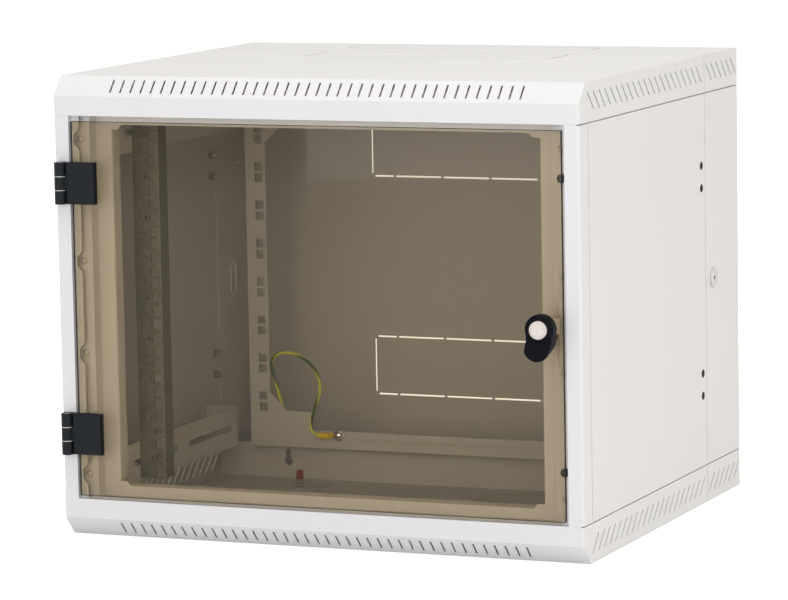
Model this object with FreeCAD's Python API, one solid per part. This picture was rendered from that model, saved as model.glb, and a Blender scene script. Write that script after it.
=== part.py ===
"""Wall mount network cabinet, 9 rack units, two sections.

The wall section stays on the wall. The main body swings away from it on a vertical hinge on the left, and
carries a smoked glass door, two sliding front rack rails and fixed rear rack rails.

Millimetres. X is to the right seen from the front, Y runs into the wall, Z is up. The origin is the centre
of the face that lies on the wall. Distances called "in" are measured back from the front face of the posts.
"""
import FreeCAD, Part
import math
import os

V = FreeCAD.Vector

# Overall sizes
RACK_PITCH = 44.45            # height of one rack unit
RACK_UNITS = 9
RACK_MARGIN = 50.0            # floor and roof to the first and last rack unit
WIDTH = 600.0
DEPTH = 515.0
WALL_SECTION_DEPTH = 115.0
SHEET = 1.5                   # painted steel sheet
SEAM_GAP = 1.2                # between the main body and the wall section
GROOVE_WIDTH = 1.1            # dark joint line between two sheets of one body
GROOVE_DEPTH = 3.0
SEAM_LIP = 6.0                # inward lips of the walls along a joint line
SEAT = 0.3                    # running gap between two bodies

HEIGHT = RACK_UNITS * RACK_PITCH + 2 * RACK_MARGIN
HALF_W = WIDTH / 2
HALF_H = HEIGHT / 2
FRONT = -DEPTH
SEAM = -WALL_SECTION_DEPTH
MAIN_BACK = SEAM - SEAM_GAP / 2
WALL_FRONT = SEAM + SEAM_GAP / 2

# Canopies, the folded trays that close the cabinet above and below
CANOPY_HEIGHT = 42.0
BAND_HEIGHT = 21.0
BEVEL_SETBACK = 20.3
FRONT_VENTS = 40
FRONT_VENT_SPAN = 469.0       # first to last slot
FRONT_VENT_LENGTH = 18.0      # along the bevel
VENT_WIDTH = 2.2
SIDE_VENT_PITCH = 17.3
SIDE_VENT_IN = 34.8           # centre of the first side slot
SIDE_VENT_BACK = 18.0         # least distance of the last slot from the seam
WALL_VENT_FROM_SEAM = 15.5
WALL_VENT_BACK = 12.0         # least distance of the last slot from the wall
SIDE_VENT_LENGTH = 26.5
SIDE_VENT_DROP = 19.8         # centre of a side slot below the roof
KEYHOLE_FROM_SIDE = 88.0
KEYHOLE_BIG_R = 5.2
KEYHOLE_SMALL_R = 2.8
KEYHOLE_Z = 21.8              # centre of the large hole above the floor
KEYHOLE_RISE = 5.0
ROOF_PANEL_HALF_W = 148.0     # knock-out panels of roof and floor
ROOF_PANEL_BACK = (-82.0, -14.0)     # from the seam, in the main body
WALL_ROOF_PANEL_BACK = (44.0, 87.0)  # from the seam, in the wall section

# Front posts
POST_FACE = 17.0
POST_SIDE = 26.0
POST_CORNER_R = 3.0
FLANGE_IN = 6.0
FLANGE_WIDTH = 9.5
POST_LEG_INSET = 15.0         # inner leg of the post behind its face
NOTCH_HEIGHT = 23.0
NOTCH_FLAT = 9.0
NOTCH_DEPTH = 6.0

# Inner front frame
FRAME_STRIP_IN = 14.0
FRAME_PLATE_IN = 29.0
FRAME_STEP_FROM_SIDE = 34.0
FRAME_OPENING_FROM_SIDE = 54.5
FRAME_OPENING_FROM_END = 53.5
FRAME_RETURN = 17.0
FRAME_BEND_R = 3.0            # of the upright returns
FRAME_CORNER_RELIEF = 5.0
FRAME_CORNER = (12.0, 5.0)    # flat corner piece left in the opening
FRAME_CORNER_SLOPE = 5.0
FRAME_BOLT_FROM_SIDE = 25.0
FRAME_BOLT_Z = (50.0, 182.0)  # above and below the middle
FRAME_BOLT_R = 2.5
FRAME_BOLT_HEAD_R = 4.0
FRAME_BOLT_HEAD = 2.6

# Glass door
GLASS = 4.0
GLASS_PROUD = 1.0             # in front of the posts
GLASS_GAP_X = 3.0             # to each post
GLASS_GAP_TOP = 6.0
GLASS_GAP_BOTTOM = 4.0
GLASS_CORNER_R = 3.0
BUMPER_R = 4.5
BUMPER_Z = 152.5
BUMPER_STEM_R = 1.8
BUMPER_STEM = 4.0

# Door hinges
DOOR_HINGE_Z = 136.0
DOOR_HINGE_HEIGHT = 45.0
KNUCKLE_R = 6.0
KNUCKLE_FROM_SIDE = 9.5
KNUCKLE_OUT = 8.3             # hinge axis in front of the posts
DOOR_PIN_R = 2.0
PIN_CLEARANCE = 0.05
LEAF_WIDTH = 34.0
LEAF_THICK = 8.5
LEAF_ROUND = 2.6
BASE_PLATE = 1.5
WASHER_THICK = 0.6
CLAMP_HOLE_R = 4.0
CLAMP_BOSS_R = 3.8
CLAMP_PITCH = 22.0
CLAMP_PLATE = 2.0
CLAMP_SCREW_HEAD_R = 3.2

# Door lock
LOCK_FROM_SIDE = 36.0
GLASS_LOCK_HOLE_R = 7.5
SLEEVE_R = 7.2
SHAFT_R = 5.0
SHAFT_CLEARANCE = 0.05
COLLAR_R = 8.6
COLLAR_LENGTH = 15.5          # from the glass to the knob
KNOB_R = 15.8
KNOB_LENGTH = 13.2
KNOB_ROUND = 2.5
TAB_R = 14.0                  # the thumb tab's round end
TAB_DROP = 18.0               # its centre below the knob's
TAB_ROOT = 16.0               # the tab leaves the knob's back this far down
TAB_LIP = (33.0, 24.0)        # its underside reaches this far out, this far down
TAB_REACH = 38.5              # front of its tip
TAB_RAMP = (12.0, 24.5)       # its face slopes outwards between these drops
TAB_ROUND = 1.5
KEY_R = 9.5
KEY_PROUD = 3.0
KEY_RECESS = 10.0
KEY_CHAMFER = 0.8
KEY_SLOT = (1.6, 9.0)
LOCK_PLATE = (22.0, 16.0, 1.5)
LOCK_NUT_FLATS = 15.0
CAM_THICK = 2.0
CAM_WIDTH = 12.0
CAM_REACH = 18.2
CAM_IN = 8.5
CAM_SCREW_R = 4.0
CAM_SCREW_HEAD = 2.2

# Body hinge between the wall section and the main body, on the left
BODY_HINGE_Z = 116.0
BODY_HINGE_HEIGHT = 60.0
BODY_HINGE_AXIS_OUT = 3.7     # axis outside the side wall
BODY_KNUCKLE_R = 3.4
BODY_PIN_R = 1.8
BODY_LEAF = 2.0
BODY_LEAF_WIDTH = 24.0
HINGE_BOLT_FROM_SEAM = 12.0
HINGE_BOLT_Z = 12.5
HINGE_BOLT_R = 3.0
HINGE_BOLT_HEAD_R = 5.5
HINGE_NUT_FLATS = 8.0
PLUG_R = 4.6
PLUG_THICK = 1.0
PLUG_STEM_R = 3.2

# Lock of the wall section, on the right
REAR_LOCK_FROM_SEAM = 25.0
REAR_LOCK_FACE_R = 11.0
REAR_LOCK_FACE = 2.5
REAR_LOCK_BARREL_R = 9.0
REAR_LOCK_CORE_R = 7.0
REAR_LOCK_BARREL = 18.0
REAR_CAM_THICK = 3.0
REAR_CAM_WIDTH = 10.0
REAR_CAM_REACH = 36.0
REAR_CAM_TOOTH = 5.5
REAR_CAM_TOOTH_DROP = 16.0
CATCH_FROM_SEAM = 2.0
CATCH_REACH = 32.0
CATCH_FOOT = 28.0
CATCH_BELOW = 20.0
CATCH_ABOVE = 44.0
CATCH_WINDOW_BELOW = 7.0
CATCH_WINDOW_ABOVE = 34.0
CATCH_WINDOW_SIDE = 3.0

# Depth brackets that carry the front rails
BRACKET_IN = 68.0             # front end of a bracket
BRACKET_FROM_SEAM = 43.0      # rear end of a bracket
BRACKET_HEIGHT = 45.0
BRACKET_BELOW_RACK = 5.0      # lower edge below the first rack unit
BRACKET_FOOT = 14.0
SLOT_MARGIN = 16.0            # from a bracket's end to its nearest slot
SLOT_SPACING = 25.0           # between the two slots of a bracket
SLOT_HEIGHT = 7.0
SLOT_ABOVE_EDGE = 22.5

# Rack rails
RACK_HOLE_X = 232.5           # half of the 465 mm hole spacing
RACK_HOLE = 9.5
RACK_HOLE_STEP = 15.875
RAIL_SHEET = 2.0
RAIL_INNER_X = 225.0
RAIL_OUTER_X = 256.7
RAIL_IN = 100.0
RAIL_OUTER_LEG = 30.0
RAIL_INNER_LEG = 20.0
RAIL_MARK_HOLE_X = 241.5
RAIL_MARK_HOLE_R = 1.8
RAIL_BOLT_IN = 109.5
RAIL_BOLT_R = 3.0
RAIL_BOLT_HEAD_R = 5.0
RAIL_NUT_FLATS = 10.0
REAR_RAIL_FROM_SEAM = 24.0
REAR_RAIL_X = (224.0, 249.0)
REAR_HOLE_STEP = 6.35         # each side of a unit line
CORNER_PLATE_X = 171.0
CORNER_PLATE_HEIGHT = 42.4    # above the canopy
GUSSET = 20.4
CROSS_BAR_HEIGHT = 21.0
CROSS_BAR_HEM = 9.0

# Earthing
STUD_X = -174.0
STUD_FROM_SEAM = 56.0
STUD_R = 3.0
STUD_LENGTH = 17.0
STUD_NUT_FLATS = 10.0
STUD_NUT = 4.2
STUD_WASHER_R = 6.2
STUD_WASHER = 1.6
STUD_CAP_R = 3.9
STUD_CAP = 10.5
LUG_Z = -192.0
LUG_RING_X = -138.6
LUG_RING_R = 6.4
LUG_SLEEVE_X = (-161.0, -148.0)
LUG_SLEEVE_R = 3.9
LUG_SHEET = 1.0
LUG_SCREW_R = 2.5
LUG_SCREW_HEAD_R = 5.6
FAR_LUG_X = -210.0
FAR_LUG_Z = -199.0
FAR_LUG_SLEEVE_Z = (-190.0, -177.0)
FAR_LUG_OUT = 6.5             # sleeve axis behind the cross bar
LEAD_DIAMETER = 3.6
LEAD_ROUTE = [
    (-161.0, -143.2, -192.0), (-170.0, -143.0, -190.0), (-172.0, -142.2, -177.5), (-166.0, -141.0, -158.0),
    (-158.5, -140.0, -137.5), (-165.0, -138.0, -116.5), (-184.0, -135.0, -101.5), (-208.0, -131.0, -97.5),
    (-225.5, -128.0, -104.5), (-227.0, -126.5, -121.5), (-218.0, -126.5, -147.0), (-210.0, -129.5, -177.0),
]

# Wall fixing
WALL_HOLE_FROM_SIDE = 50.0
WALL_HOLE_FROM_END = 50.025   # below the roof and above the floor
WALL_HOLE_R = 5.0
KNOCKOUT_HALF_W = 148.0
KNOCKOUT_Z = (95.0, 163.5)    # from the middle to each edge, above and below
SIDE_KNOCKOUT_BACK = (36.5, 50.0)    # from the seam
SIDE_KNOCKOUT_Z = (-41.0, -4.0)
SLIT = 2.0
SLIT_BRIDGE = 3.0
SLIT_PITCH = 60.0
ROOF_SLIT_PITCH = 150.0

# Small fasteners and clearances
HOLE_CLEARANCE = 0.2          # round a bolt of the body hinge
NEAT_CLEARANCE = 0.1          # round the other bolts and the rear lock
FRAME_BOLT_BEYOND = 6.0       # shank past the last sheet
FRAME_NUT_FLATS = 8.0
FRAME_NUT = 4.0
RAIL_BOLT_BEYOND = 8.0
RAIL_BOLT_HEAD = 3.2
RAIL_NUT = 5.0
HINGE_BOLT_BEYOND = 8.0
HINGE_BOLT_HEAD = 2.6
HINGE_WASHER_R = 5.2
HINGE_WASHER = 1.0
HINGE_NUT = 5.0
PLUG_STEM = 4.0
BUMPER_GAP = 0.2              # from the post's face
CLAMP_SCREW_R = 1.7
CLAMP_SCREW_HOLE_R = 1.8
CLAMP_SCREW_HEAD = 1.6
CLAMP_EDGE = 2.0              # plate inside the leaf's outline
CLAMP_SHIFT = 1.0             # bosses past the middle of the leaf
LEAF_GAP = 0.5                # from the knuckle to the leaf
BASE_INSET = 1.5              # knuckle web inside the base plate's edges
KEY_SLOT_DEPTH = 9.0
REAR_KEY_SLOT_DEPTH = 10.0
REAR_LOCK_CHAMFER = 0.8
REAR_LOCK_NUT = 4.0
REAR_SCREW_R = 4.5
REAR_SCREW_HEAD = 2.5
REAR_HUB_RIM = 3.0            # hub of the hooked cam past its arm
STUD_CAP_ROUND = 1.0
LUG_TONGUE = 3.0              # half width
LUG_WASHER = 1.0
LUG_SCREW_HEAD = 3.0
LUG_SCREW_BEYOND = 10.0
FAR_NUT_FLATS = 8.0
FAR_NUT = 4.0
FAR_STUD = 9.0

CANOPY_Z = HALF_H - CANOPY_HEIGHT
KEYHOLE_X = HALF_W - KEYHOLE_FROM_SIDE
FRAME_STEP_X = HALF_W - FRAME_STEP_FROM_SIDE
FRAME_OPENING_X = HALF_W - FRAME_OPENING_FROM_SIDE
FRAME_BOLT_X = HALF_W - FRAME_BOLT_FROM_SIDE
KNUCKLE_X = HALF_W - KNUCKLE_FROM_SIDE
LOCK_X = HALF_W - LOCK_FROM_SIDE
BRACKET_X = RAIL_OUTER_X + SEAT
REAR_RAIL_Y = SEAM - REAR_RAIL_FROM_SEAM
STUD_Y = SEAM - STUD_FROM_SEAM
WALL_HOLE_X = HALF_W - WALL_HOLE_FROM_SIDE
WALL_HOLE_Z = HALF_H - WALL_HOLE_FROM_END


def box(x, y, z):
    """Box from three (low, high) pairs in any order."""
    (x0, x1), (y0, y1), (z0, z1) = sorted(x), sorted(y), sorted(z)
    return Part.makeBox(x1 - x0, y1 - y0, z1 - z0, V(x0, y0, z0))


def rod(radius, start, end):
    """Round bar between two points."""
    start, end = V(*start), V(*end)
    return Part.makeCylinder(radius, (end - start).Length, start, end - start)


def regular_polygon(radius, z, sides):
    """Closed wire round the Z axis."""
    turns = [2 * math.pi * index / sides for index in range(sides)]
    corners = [V(radius * math.cos(turn), radius * math.sin(turn), z) for turn in turns]
    return Part.makePolygon(corners + corners[:1])


def faceted(radius, start, end, sides=8):
    """Small fastener or hidden hole: a bar with flat sides, measured across its corners."""
    start, end = V(*start), V(*end)
    bar = Part.Face(regular_polygon(radius, 0, sides)).extrude(V(0, 0, (end - start).Length))
    bar.Placement = FreeCAD.Placement(start, FreeCAD.Rotation(V(0, 0, 1), end - start))
    return bar


def prism(points, axis, low, high):
    """Solid with a flat outline in the plane across axis, from low to high along it."""
    if axis == "x":
        corners = [V(low, a, b) for a, b in points]
    elif axis == "y":
        corners = [V(a, low, b) for a, b in points]
    else:
        corners = [V(a, b, low) for a, b in points]
    along = {"x": V(1, 0, 0), "y": V(0, 1, 0), "z": V(0, 0, 1)}[axis] * (high - low)
    return Part.Face(Part.makePolygon(corners + corners[:1])).extrude(along)


def folded(points, thickness, axis, low, high):
    """Folded sheet: a line of outer corners thickened to its left, then drawn along axis."""
    normals = []
    for (a0, b0), (a1, b1) in zip(points, points[1:]):
        length = math.hypot(a1 - a0, b1 - b0)
        normals.append(((b0 - b1) / length, (a1 - a0) / length))
    inner = []
    for index, (a, b) in enumerate(points):
        n0 = normals[max(index - 1, 0)]
        n1 = normals[min(index, len(normals) - 1)]
        mitre = thickness / (1 + n0[0] * n1[0] + n0[1] * n1[1])
        inner.append((a + (n0[0] + n1[0]) * mitre, b + (n0[1] + n1[1]) * mitre))
    return prism(list(points) + inner[::-1], axis, low, high)


def hexagon(flats, start, end):
    """Hexagonal bar between two points, given its width across flats."""
    return faceted(flats / math.sqrt(3), start, end, 6)


def mirror_x(shape):
    return shape.mirror(V(0, 0, 0), V(1, 0, 0))


def mirror_z(shape):
    return shape.mirror(V(0, 0, 0), V(0, 0, 1))


def fused(shapes):
    return shapes[0].multiFuse(shapes[1:]).removeSplitter()


def bolt_head(radius, height, centre, direction, sides=12):
    """Low bolt head with a wide taper, its flat side at centre, rising along direction."""
    start, along = V(*centre), V(*direction)
    rings = [(radius, 0.0), (radius, height / 2), (0.6 * radius, height)]
    head = Part.makeLoft([regular_polygon(ring_r, z, sides) for ring_r, z in rings], True, True)
    head.Placement = FreeCAD.Placement(start, FreeCAD.Rotation(V(0, 0, 1), along))
    return head


def slit_frame(low_a, high_a, low_b, high_b, pitch):
    """Slits round a knock-out panel, with bridges at an even pitch along a: a list of (a pair, b pair)."""
    slits = []
    for b in (low_b, high_b):
        slits += [(piece, (b - SLIT / 2, b + SLIT / 2)) for piece in slit_pieces(low_a, high_a, pitch)]
    for a in (low_a, high_a):
        slits.append(((a - SLIT / 2, a + SLIT / 2), (low_b + SLIT_BRIDGE, high_b - SLIT_BRIDGE)))
    return slits


def slit_pieces(low, high, pitch):
    """Stretches of a slit between bridges set at an even pitch about its middle."""
    middle = (low + high) / 2
    count = int((high - low) / 2 / pitch)
    bridges = [middle + pitch * index for index in range(-count, count + 1)]
    edges = [low + SLIT_BRIDGE]
    for bridge in bridges:
        edges += [bridge - SLIT_BRIDGE / 2, bridge + SLIT_BRIDGE / 2]
    edges.append(high - SLIT_BRIDGE)
    return [pair for pair in zip(edges[::2], edges[1::2]) if pair[1] - pair[0] > SLIT]


def side_vent_cutter(centre_y):
    """Slanted slot through both side walls of the lower canopy, its upper end towards the front."""
    half = SIDE_VENT_LENGTH / 2
    slot = box((-HALF_W - SHEET, HALF_W + SHEET), (-VENT_WIDTH / 2, VENT_WIDTH / 2), (-half, half))
    slot.rotate(V(0, 0, 0), V(1, 0, 0), -45)
    slot.translate(V(0, centre_y, -HALF_H + SIDE_VENT_DROP))
    return slot


def side_vent_cutters(first, last):
    """Slots at an even pitch from first, none of them past last."""
    count = int((last - first) / SIDE_VENT_PITCH) + 1
    return [side_vent_cutter(first + SIDE_VENT_PITCH * index) for index in range(count)]


def roof_panel_cutters(span):
    """Slits of the knock-out panel in a canopy's floor, cut through the sheet only."""
    depth = (-HALF_H - SHEET, -HALF_H + 2 * SHEET)
    return [box(x, (SEAM + y[0], SEAM + y[1]), depth)
            for x, y in slit_frame(-ROOF_PANEL_HALF_W, ROOF_PANEL_HALF_W, *span, ROOF_SLIT_PITCH)]


def seam_grooves():
    """Narrow channels along the joint lines between the canopies, the side walls and the posts."""
    half = GROOVE_WIDTH / 2
    cutters = []
    for side in (-1, 1):
        outer = (side * (HALF_W + SHEET), side * (HALF_W - GROOVE_DEPTH))
        for level in (-CANOPY_Z, CANOPY_Z):
            cutters.append(box(outer, (FRONT - SHEET, SHEET), (level - half, level + half)))
        seam_y = FRONT + POST_SIDE
        cutters.append(box(outer, (seam_y - half, seam_y + half), (-CANOPY_Z, CANOPY_Z)))
    return Part.makeCompound(cutters)


def front_vent_cutters():
    """Slots that run straight up the bevel of the lower canopy."""
    slope = math.atan2(BAND_HEIGHT, BEVEL_SETBACK)
    pitch = FRONT_VENT_SPAN / (FRONT_VENTS - 1)
    half_w, half_l = VENT_WIDTH / 2, FRONT_VENT_LENGTH / 2
    slots = []
    for index in range(FRONT_VENTS):
        x = -FRONT_VENT_SPAN / 2 + pitch * index
        slot = box((x - half_w, x + half_w), (-half_l, half_l), (-3 * SHEET, 3 * SHEET))
        slot.rotate(V(0, 0, 0), V(1, 0, 0), -math.degrees(slope))
        slot.translate(V(0, FRONT + BEVEL_SETBACK / 2, -HALF_H + BAND_HEIGHT / 2))
        slots.append(slot)
    return slots


def keyhole_cutter(x):
    """Keyhole in the rear wall of the lower canopy: the large hole below, the narrow one above."""
    z = -HALF_H + KEYHOLE_Z
    wall = (MAIN_BACK - 2 * SHEET, MAIN_BACK + SHEET)
    large = rod(KEYHOLE_BIG_R, (x, wall[0], z), (x, wall[1], z))
    top = z + KEYHOLE_BIG_R + KEYHOLE_RISE
    neck = box((x - KEYHOLE_SMALL_R, x + KEYHOLE_SMALL_R), wall, (z, top))
    round_end = rod(KEYHOLE_SMALL_R, (x, wall[0], top), (x, wall[1], top))
    return fused([large, neck, round_end])


def main_canopy():
    """Lower canopy of the main body: floor, bevelled and vented front, sides and rear wall."""
    top = -CANOPY_Z
    outline = [(FRONT, top), (FRONT, -HALF_H + BAND_HEIGHT), (FRONT + BEVEL_SETBACK, -HALF_H),
               (MAIN_BACK, -HALF_H), (MAIN_BACK, top)]
    slope = math.atan2(BAND_HEIGHT, BEVEL_SETBACK)
    corner = SHEET * math.tan(slope / 2)
    hollow = [(FRONT + SHEET, top - SHEET), (FRONT + SHEET, -HALF_H + BAND_HEIGHT + SHEET * math.tan(
              (math.pi / 2 - slope) / 2)), (FRONT + BEVEL_SETBACK + corner, -HALF_H + SHEET),
              (MAIN_BACK - SHEET, -HALF_H + SHEET), (MAIN_BACK - SHEET, top - SHEET)]
    tray = prism(outline, "x", -HALF_W, HALF_W)
    tray = tray.cut(prism(hollow, "x", -HALF_W + SHEET, HALF_W - SHEET))
    mouth_x = HALF_W - SEAM_LIP
    tray = tray.cut(box((-mouth_x, mouth_x), (FRONT + FRAME_PLATE_IN + SHEET, MAIN_BACK - SHEET),
                        (top - 2 * SHEET, top + SHEET)))
    tray = tray.makeFillet(POST_CORNER_R, [edge for edge in tray.Edges if is_band_corner(edge)])
    cutters = front_vent_cutters()
    cutters += side_vent_cutters(FRONT + SIDE_VENT_IN, SEAM - SIDE_VENT_BACK)
    cutters += [keyhole_cutter(x) for x in (-KEYHOLE_X, KEYHOLE_X)]
    cutters += roof_panel_cutters(ROOF_PANEL_BACK)
    return tray.cut(Part.makeCompound(cutters)).cut(seam_grooves())


def is_band_corner(edge):
    """True for the two outer upright edges of a canopy's front band."""
    low, high = edge.BoundBox.ZMin, edge.BoundBox.ZMax
    middle = edge.CenterOfMass
    return (abs(abs(middle.x) - HALF_W) < 0.01 and abs(middle.y - FRONT) < 0.01
            and abs(high - low - (CANOPY_HEIGHT - BAND_HEIGHT)) < 0.01)


def wall_canopy():
    """Lower canopy of the wall section: floor and sides, open to the main body."""
    top = -CANOPY_Z
    tray = box((-HALF_W, HALF_W), (WALL_FRONT, -SHEET), (-HALF_H, top))
    tray = tray.cut(box((-HALF_W + SHEET, HALF_W - SHEET), (FRONT, SHEET), (-HALF_H + SHEET, top - SHEET)))
    mouth_x = HALF_W - SEAM_LIP
    tray = tray.cut(box((-mouth_x, mouth_x), (FRONT, SHEET), (top - 2 * SHEET, top + SHEET)))
    cutters = side_vent_cutters(SEAM + WALL_VENT_FROM_SEAM, -WALL_VENT_BACK)
    cutters += roof_panel_cutters(WALL_ROOF_PANEL_BACK)
    return tray.cut(Part.makeCompound(cutters)).cut(seam_grooves())


def side_wall(y_front, y_back, front_lip):
    """Right side wall between the canopies, with lips above, below and, on the main body, in front."""
    z = (-CANOPY_Z, CANOPY_Z)
    wall = box((HALF_W - SEAM_LIP, HALF_W), (y_front, y_back), z)
    inner_y = y_front + SHEET if front_lip else y_front - SHEET
    wall = wall.cut(box((HALF_W - 2 * SEAM_LIP, HALF_W - SHEET), (inner_y, y_back + SHEET),
                        (z[0] + SHEET, z[1] - SHEET)))
    return wall.cut(seam_grooves())


def side_panel(side):
    """Side wall of the main body, with the four hinge bolt holes near its rear edge."""
    panel = side_wall(FRONT + POST_SIDE, MAIN_BACK, True)
    holes = [faceted(HINGE_BOLT_R + HOLE_CLEARANCE, (HALF_W - 2 * SHEET, y, z), (HALF_W + SHEET, y, z))
             for y, z in hinge_bolt_places()]
    panel = panel.cut(Part.makeCompound(holes))
    return panel if side > 0 else mirror_x(panel)


def hinge_bolt_places():
    """(y, z) of the body hinge's bolts, the same on both side walls so that the cabinet can be handed."""
    return [(MAIN_BACK - HINGE_BOLT_FROM_SEAM, height * BODY_HINGE_Z + step * HINGE_BOLT_Z)
            for height in (-1, 1) for step in (-1, 1)]


def wall_side(side):
    """Side wall of the wall section: a lock hole on the right, a small knock-out on the left."""
    wall = side_wall(WALL_FRONT, -SHEET, False)
    if side > 0:
        y = SEAM + REAR_LOCK_FROM_SEAM
        hole_r = REAR_LOCK_BARREL_R + NEAT_CLEARANCE
        return wall.cut(rod(hole_r, (HALF_W - 2 * SHEET, y, 0), (HALF_W + SHEET, y, 0)))
    wall = mirror_x(wall)
    slits = slit_frame(*SIDE_KNOCKOUT_BACK, *SIDE_KNOCKOUT_Z, SLIT_PITCH)
    cutters = [box((-HALF_W - SHEET, -HALF_W + 2 * SHEET), (SEAM + y[0], SEAM + y[1]), z) for y, z in slits]
    return wall.cut(Part.makeCompound(cutters))


def back_panel():
    """Rear wall with four wall fixing holes and two knock-out panels."""
    panel = box((-HALF_W, HALF_W), (-SHEET, 0), (-HALF_H, HALF_H))
    through = (-2 * SHEET, SHEET)
    cutters = [rod(WALL_HOLE_R, (x, through[0], z), (x, through[1], z))
               for x in (-WALL_HOLE_X, WALL_HOLE_X) for z in (-WALL_HOLE_Z, WALL_HOLE_Z)]
    for side in (-1, 1):
        low, high = sorted((side * KNOCKOUT_Z[0], side * KNOCKOUT_Z[1]))
        slits = slit_frame(-KNOCKOUT_HALF_W, KNOCKOUT_HALF_W, low, high, SLIT_PITCH)
        cutters += [box(x, through, z) for x, z in slits]
    return panel.cut(Part.makeCompound(cutters))


def front_post(side):
    """Front post: face, rounded corner, side, and the recessed flange that the door closes against."""
    face_x = HALF_W - POST_FACE
    leg_x = HALF_W - POST_LEG_INSET
    section = [(face_x - FLANGE_WIDTH, FRONT + FLANGE_IN), (face_x, FRONT + FLANGE_IN), (face_x, FRONT),
               (HALF_W, FRONT), (HALF_W, FRONT + POST_SIDE), (leg_x, FRONT + POST_SIDE),
               (leg_x, FRONT + FRAME_STRIP_IN + 2 * SHEET),
               (FRAME_STEP_X + SHEET, FRONT + FRAME_STRIP_IN + 2 * SHEET)]
    post = folded(section, SHEET, "z", -CANOPY_Z, CANOPY_Z)
    corner = [edge for edge in post.Edges if abs(edge.CenterOfMass.x - HALF_W) < 0.01
              and abs(edge.CenterOfMass.y - FRONT) < 0.01 and abs(edge.CenterOfMass.z) < 0.01]
    post = post.makeFillet(POST_CORNER_R, corner)
    edge_x = face_x - FLANGE_WIDTH
    flange_y = (FRONT + FLANGE_IN - SHEET, FRONT + FLANGE_IN + 2 * SHEET)
    cutters = []
    notch = [(edge_x - 1, -NOTCH_HEIGHT / 2), (edge_x, -NOTCH_HEIGHT / 2),
             (edge_x + NOTCH_DEPTH, -NOTCH_FLAT / 2), (edge_x + NOTCH_DEPTH, NOTCH_FLAT / 2),
             (edge_x, NOTCH_HEIGHT / 2), (edge_x - 1, NOTCH_HEIGHT / 2)]
    for x, y, z in frame_bolt_places(1):
        cutters.append(prism([(a, z + b) for a, b in notch], "y", *flange_y))
        end = (x, y + FRAME_PLATE_IN - FRAME_STRIP_IN, z)
        cutters.append(faceted(FRAME_BOLT_R + NEAT_CLEARANCE, (x, y, z), end))
    if side > 0:
        bumper_x = bumper_centre_x()
        cutters += [faceted(BUMPER_STEM_R, (bumper_x, flange_y[0], z), (bumper_x, flange_y[1], z))
                    for z in (-BUMPER_Z, BUMPER_Z)]
    post = post.cut(Part.makeCompound(cutters)).cut(seam_grooves())
    return post if side > 0 else mirror_x(post)


def bumper_centre_x():
    return HALF_W - POST_FACE - BUMPER_R - BUMPER_GAP


def frame_bolt_places(side):
    """Seats of the four bolt heads on one side of the inner front frame."""
    return [(side * FRAME_BOLT_X, FRONT + FRAME_STRIP_IN, up * height)
            for up in (-1, 1) for height in FRAME_BOLT_Z]


def inner_front_frame():
    """Stepped frame behind the door, with a return flange round its opening."""
    plate_y = (FRONT + FRAME_PLATE_IN, FRONT + FRAME_PLATE_IN + SHEET)
    opening_z = HALF_H - FRAME_OPENING_FROM_END
    pieces = [box((-FRAME_STEP_X, FRAME_STEP_X), plate_y, (-CANOPY_Z, CANOPY_Z))]
    for side in (-1, 1):
        inner, outer = side * (FRAME_STEP_X - SHEET), side * FRAME_STEP_X
        step_y = (FRONT + FRAME_STRIP_IN, plate_y[1])
        pieces.append(box((inner, outer), step_y, (-CANOPY_Z, CANOPY_Z)))
        strip_end = side * (HALF_W - POST_LEG_INSET)
        pieces.append(box((inner, strip_end), (step_y[0], step_y[0] + SHEET), (-CANOPY_Z, CANOPY_Z)))
    frame = fused(pieces)
    frame = frame.cut(frame_opening(opening_z))
    y = (plate_y[0], plate_y[1] + FRAME_RETURN)
    flanges = []
    relief = FRAME_CORNER_RELIEF
    for side in (-1, 1):
        wall = sorted((side * FRAME_OPENING_X, side * (FRAME_OPENING_X + SHEET)))
        outline = [(across, along) for along, across in flange_outline(opening_z, *y, relief)]
        flanges.append(prism(outline, "x", *wall))
        level = sorted((side * opening_z, side * (opening_z + SHEET)))
        flanges.append(prism(flange_outline(FRAME_OPENING_X, *y, relief), "z", *level))
    frame = fused([frame] + flanges)
    cutters = [faceted(FRAME_BOLT_R + NEAT_CLEARANCE, (x, y - SHEET, z), (x, y + 3 * SHEET, z))
               for side in (-1, 1) for x, y, z in frame_bolt_places(side)]
    cutters += [bend_cutter(side, plate_y[0], opening_z - FRAME_CORNER[1]) for side in (-1, 1)]
    return frame.cut(Part.makeCompound(cutters))


def bend_cutter(side, plate_y, half_height):
    """Rounds the edge where the frame's plate folds back into an upright return."""
    x = (side * FRAME_OPENING_X, side * (FRAME_OPENING_X + FRAME_BEND_R))
    ends = [(x[1], plate_y + FRAME_BEND_R, z) for z in (-half_height, half_height)]
    return box(x, (plate_y, plate_y + FRAME_BEND_R), (-half_height, half_height)).cut(rod(FRAME_BEND_R, *ends))


def frame_opening(half_height):
    """What is cut from the plate for the opening: a rectangle with a stepped piece kept at each corner."""
    across, up = FRAME_CORNER
    quarter = [(FRAME_OPENING_X, half_height - up),
               (FRAME_OPENING_X - across + FRAME_CORNER_SLOPE, half_height - up),
               (FRAME_OPENING_X - across, half_height)]
    half = quarter + [(-x, z) for x, z in quarter[::-1]]
    outline = half + [(-x, -z) for x, z in half]
    return prism(outline, "y", FRONT, SEAM)


def flange_outline(half_length, base, edge, relief):
    """Flange with both ends cut back in two steps, so that its neighbours fold freely.

    Its points are (along, across) pairs.
    """
    step = base + SHEET + relief
    half = [(half_length, base), (half_length - relief / 2, step), (half_length - 2 * relief, edge)]
    return half + [(-along, across) for along, across in half[::-1]]


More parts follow.
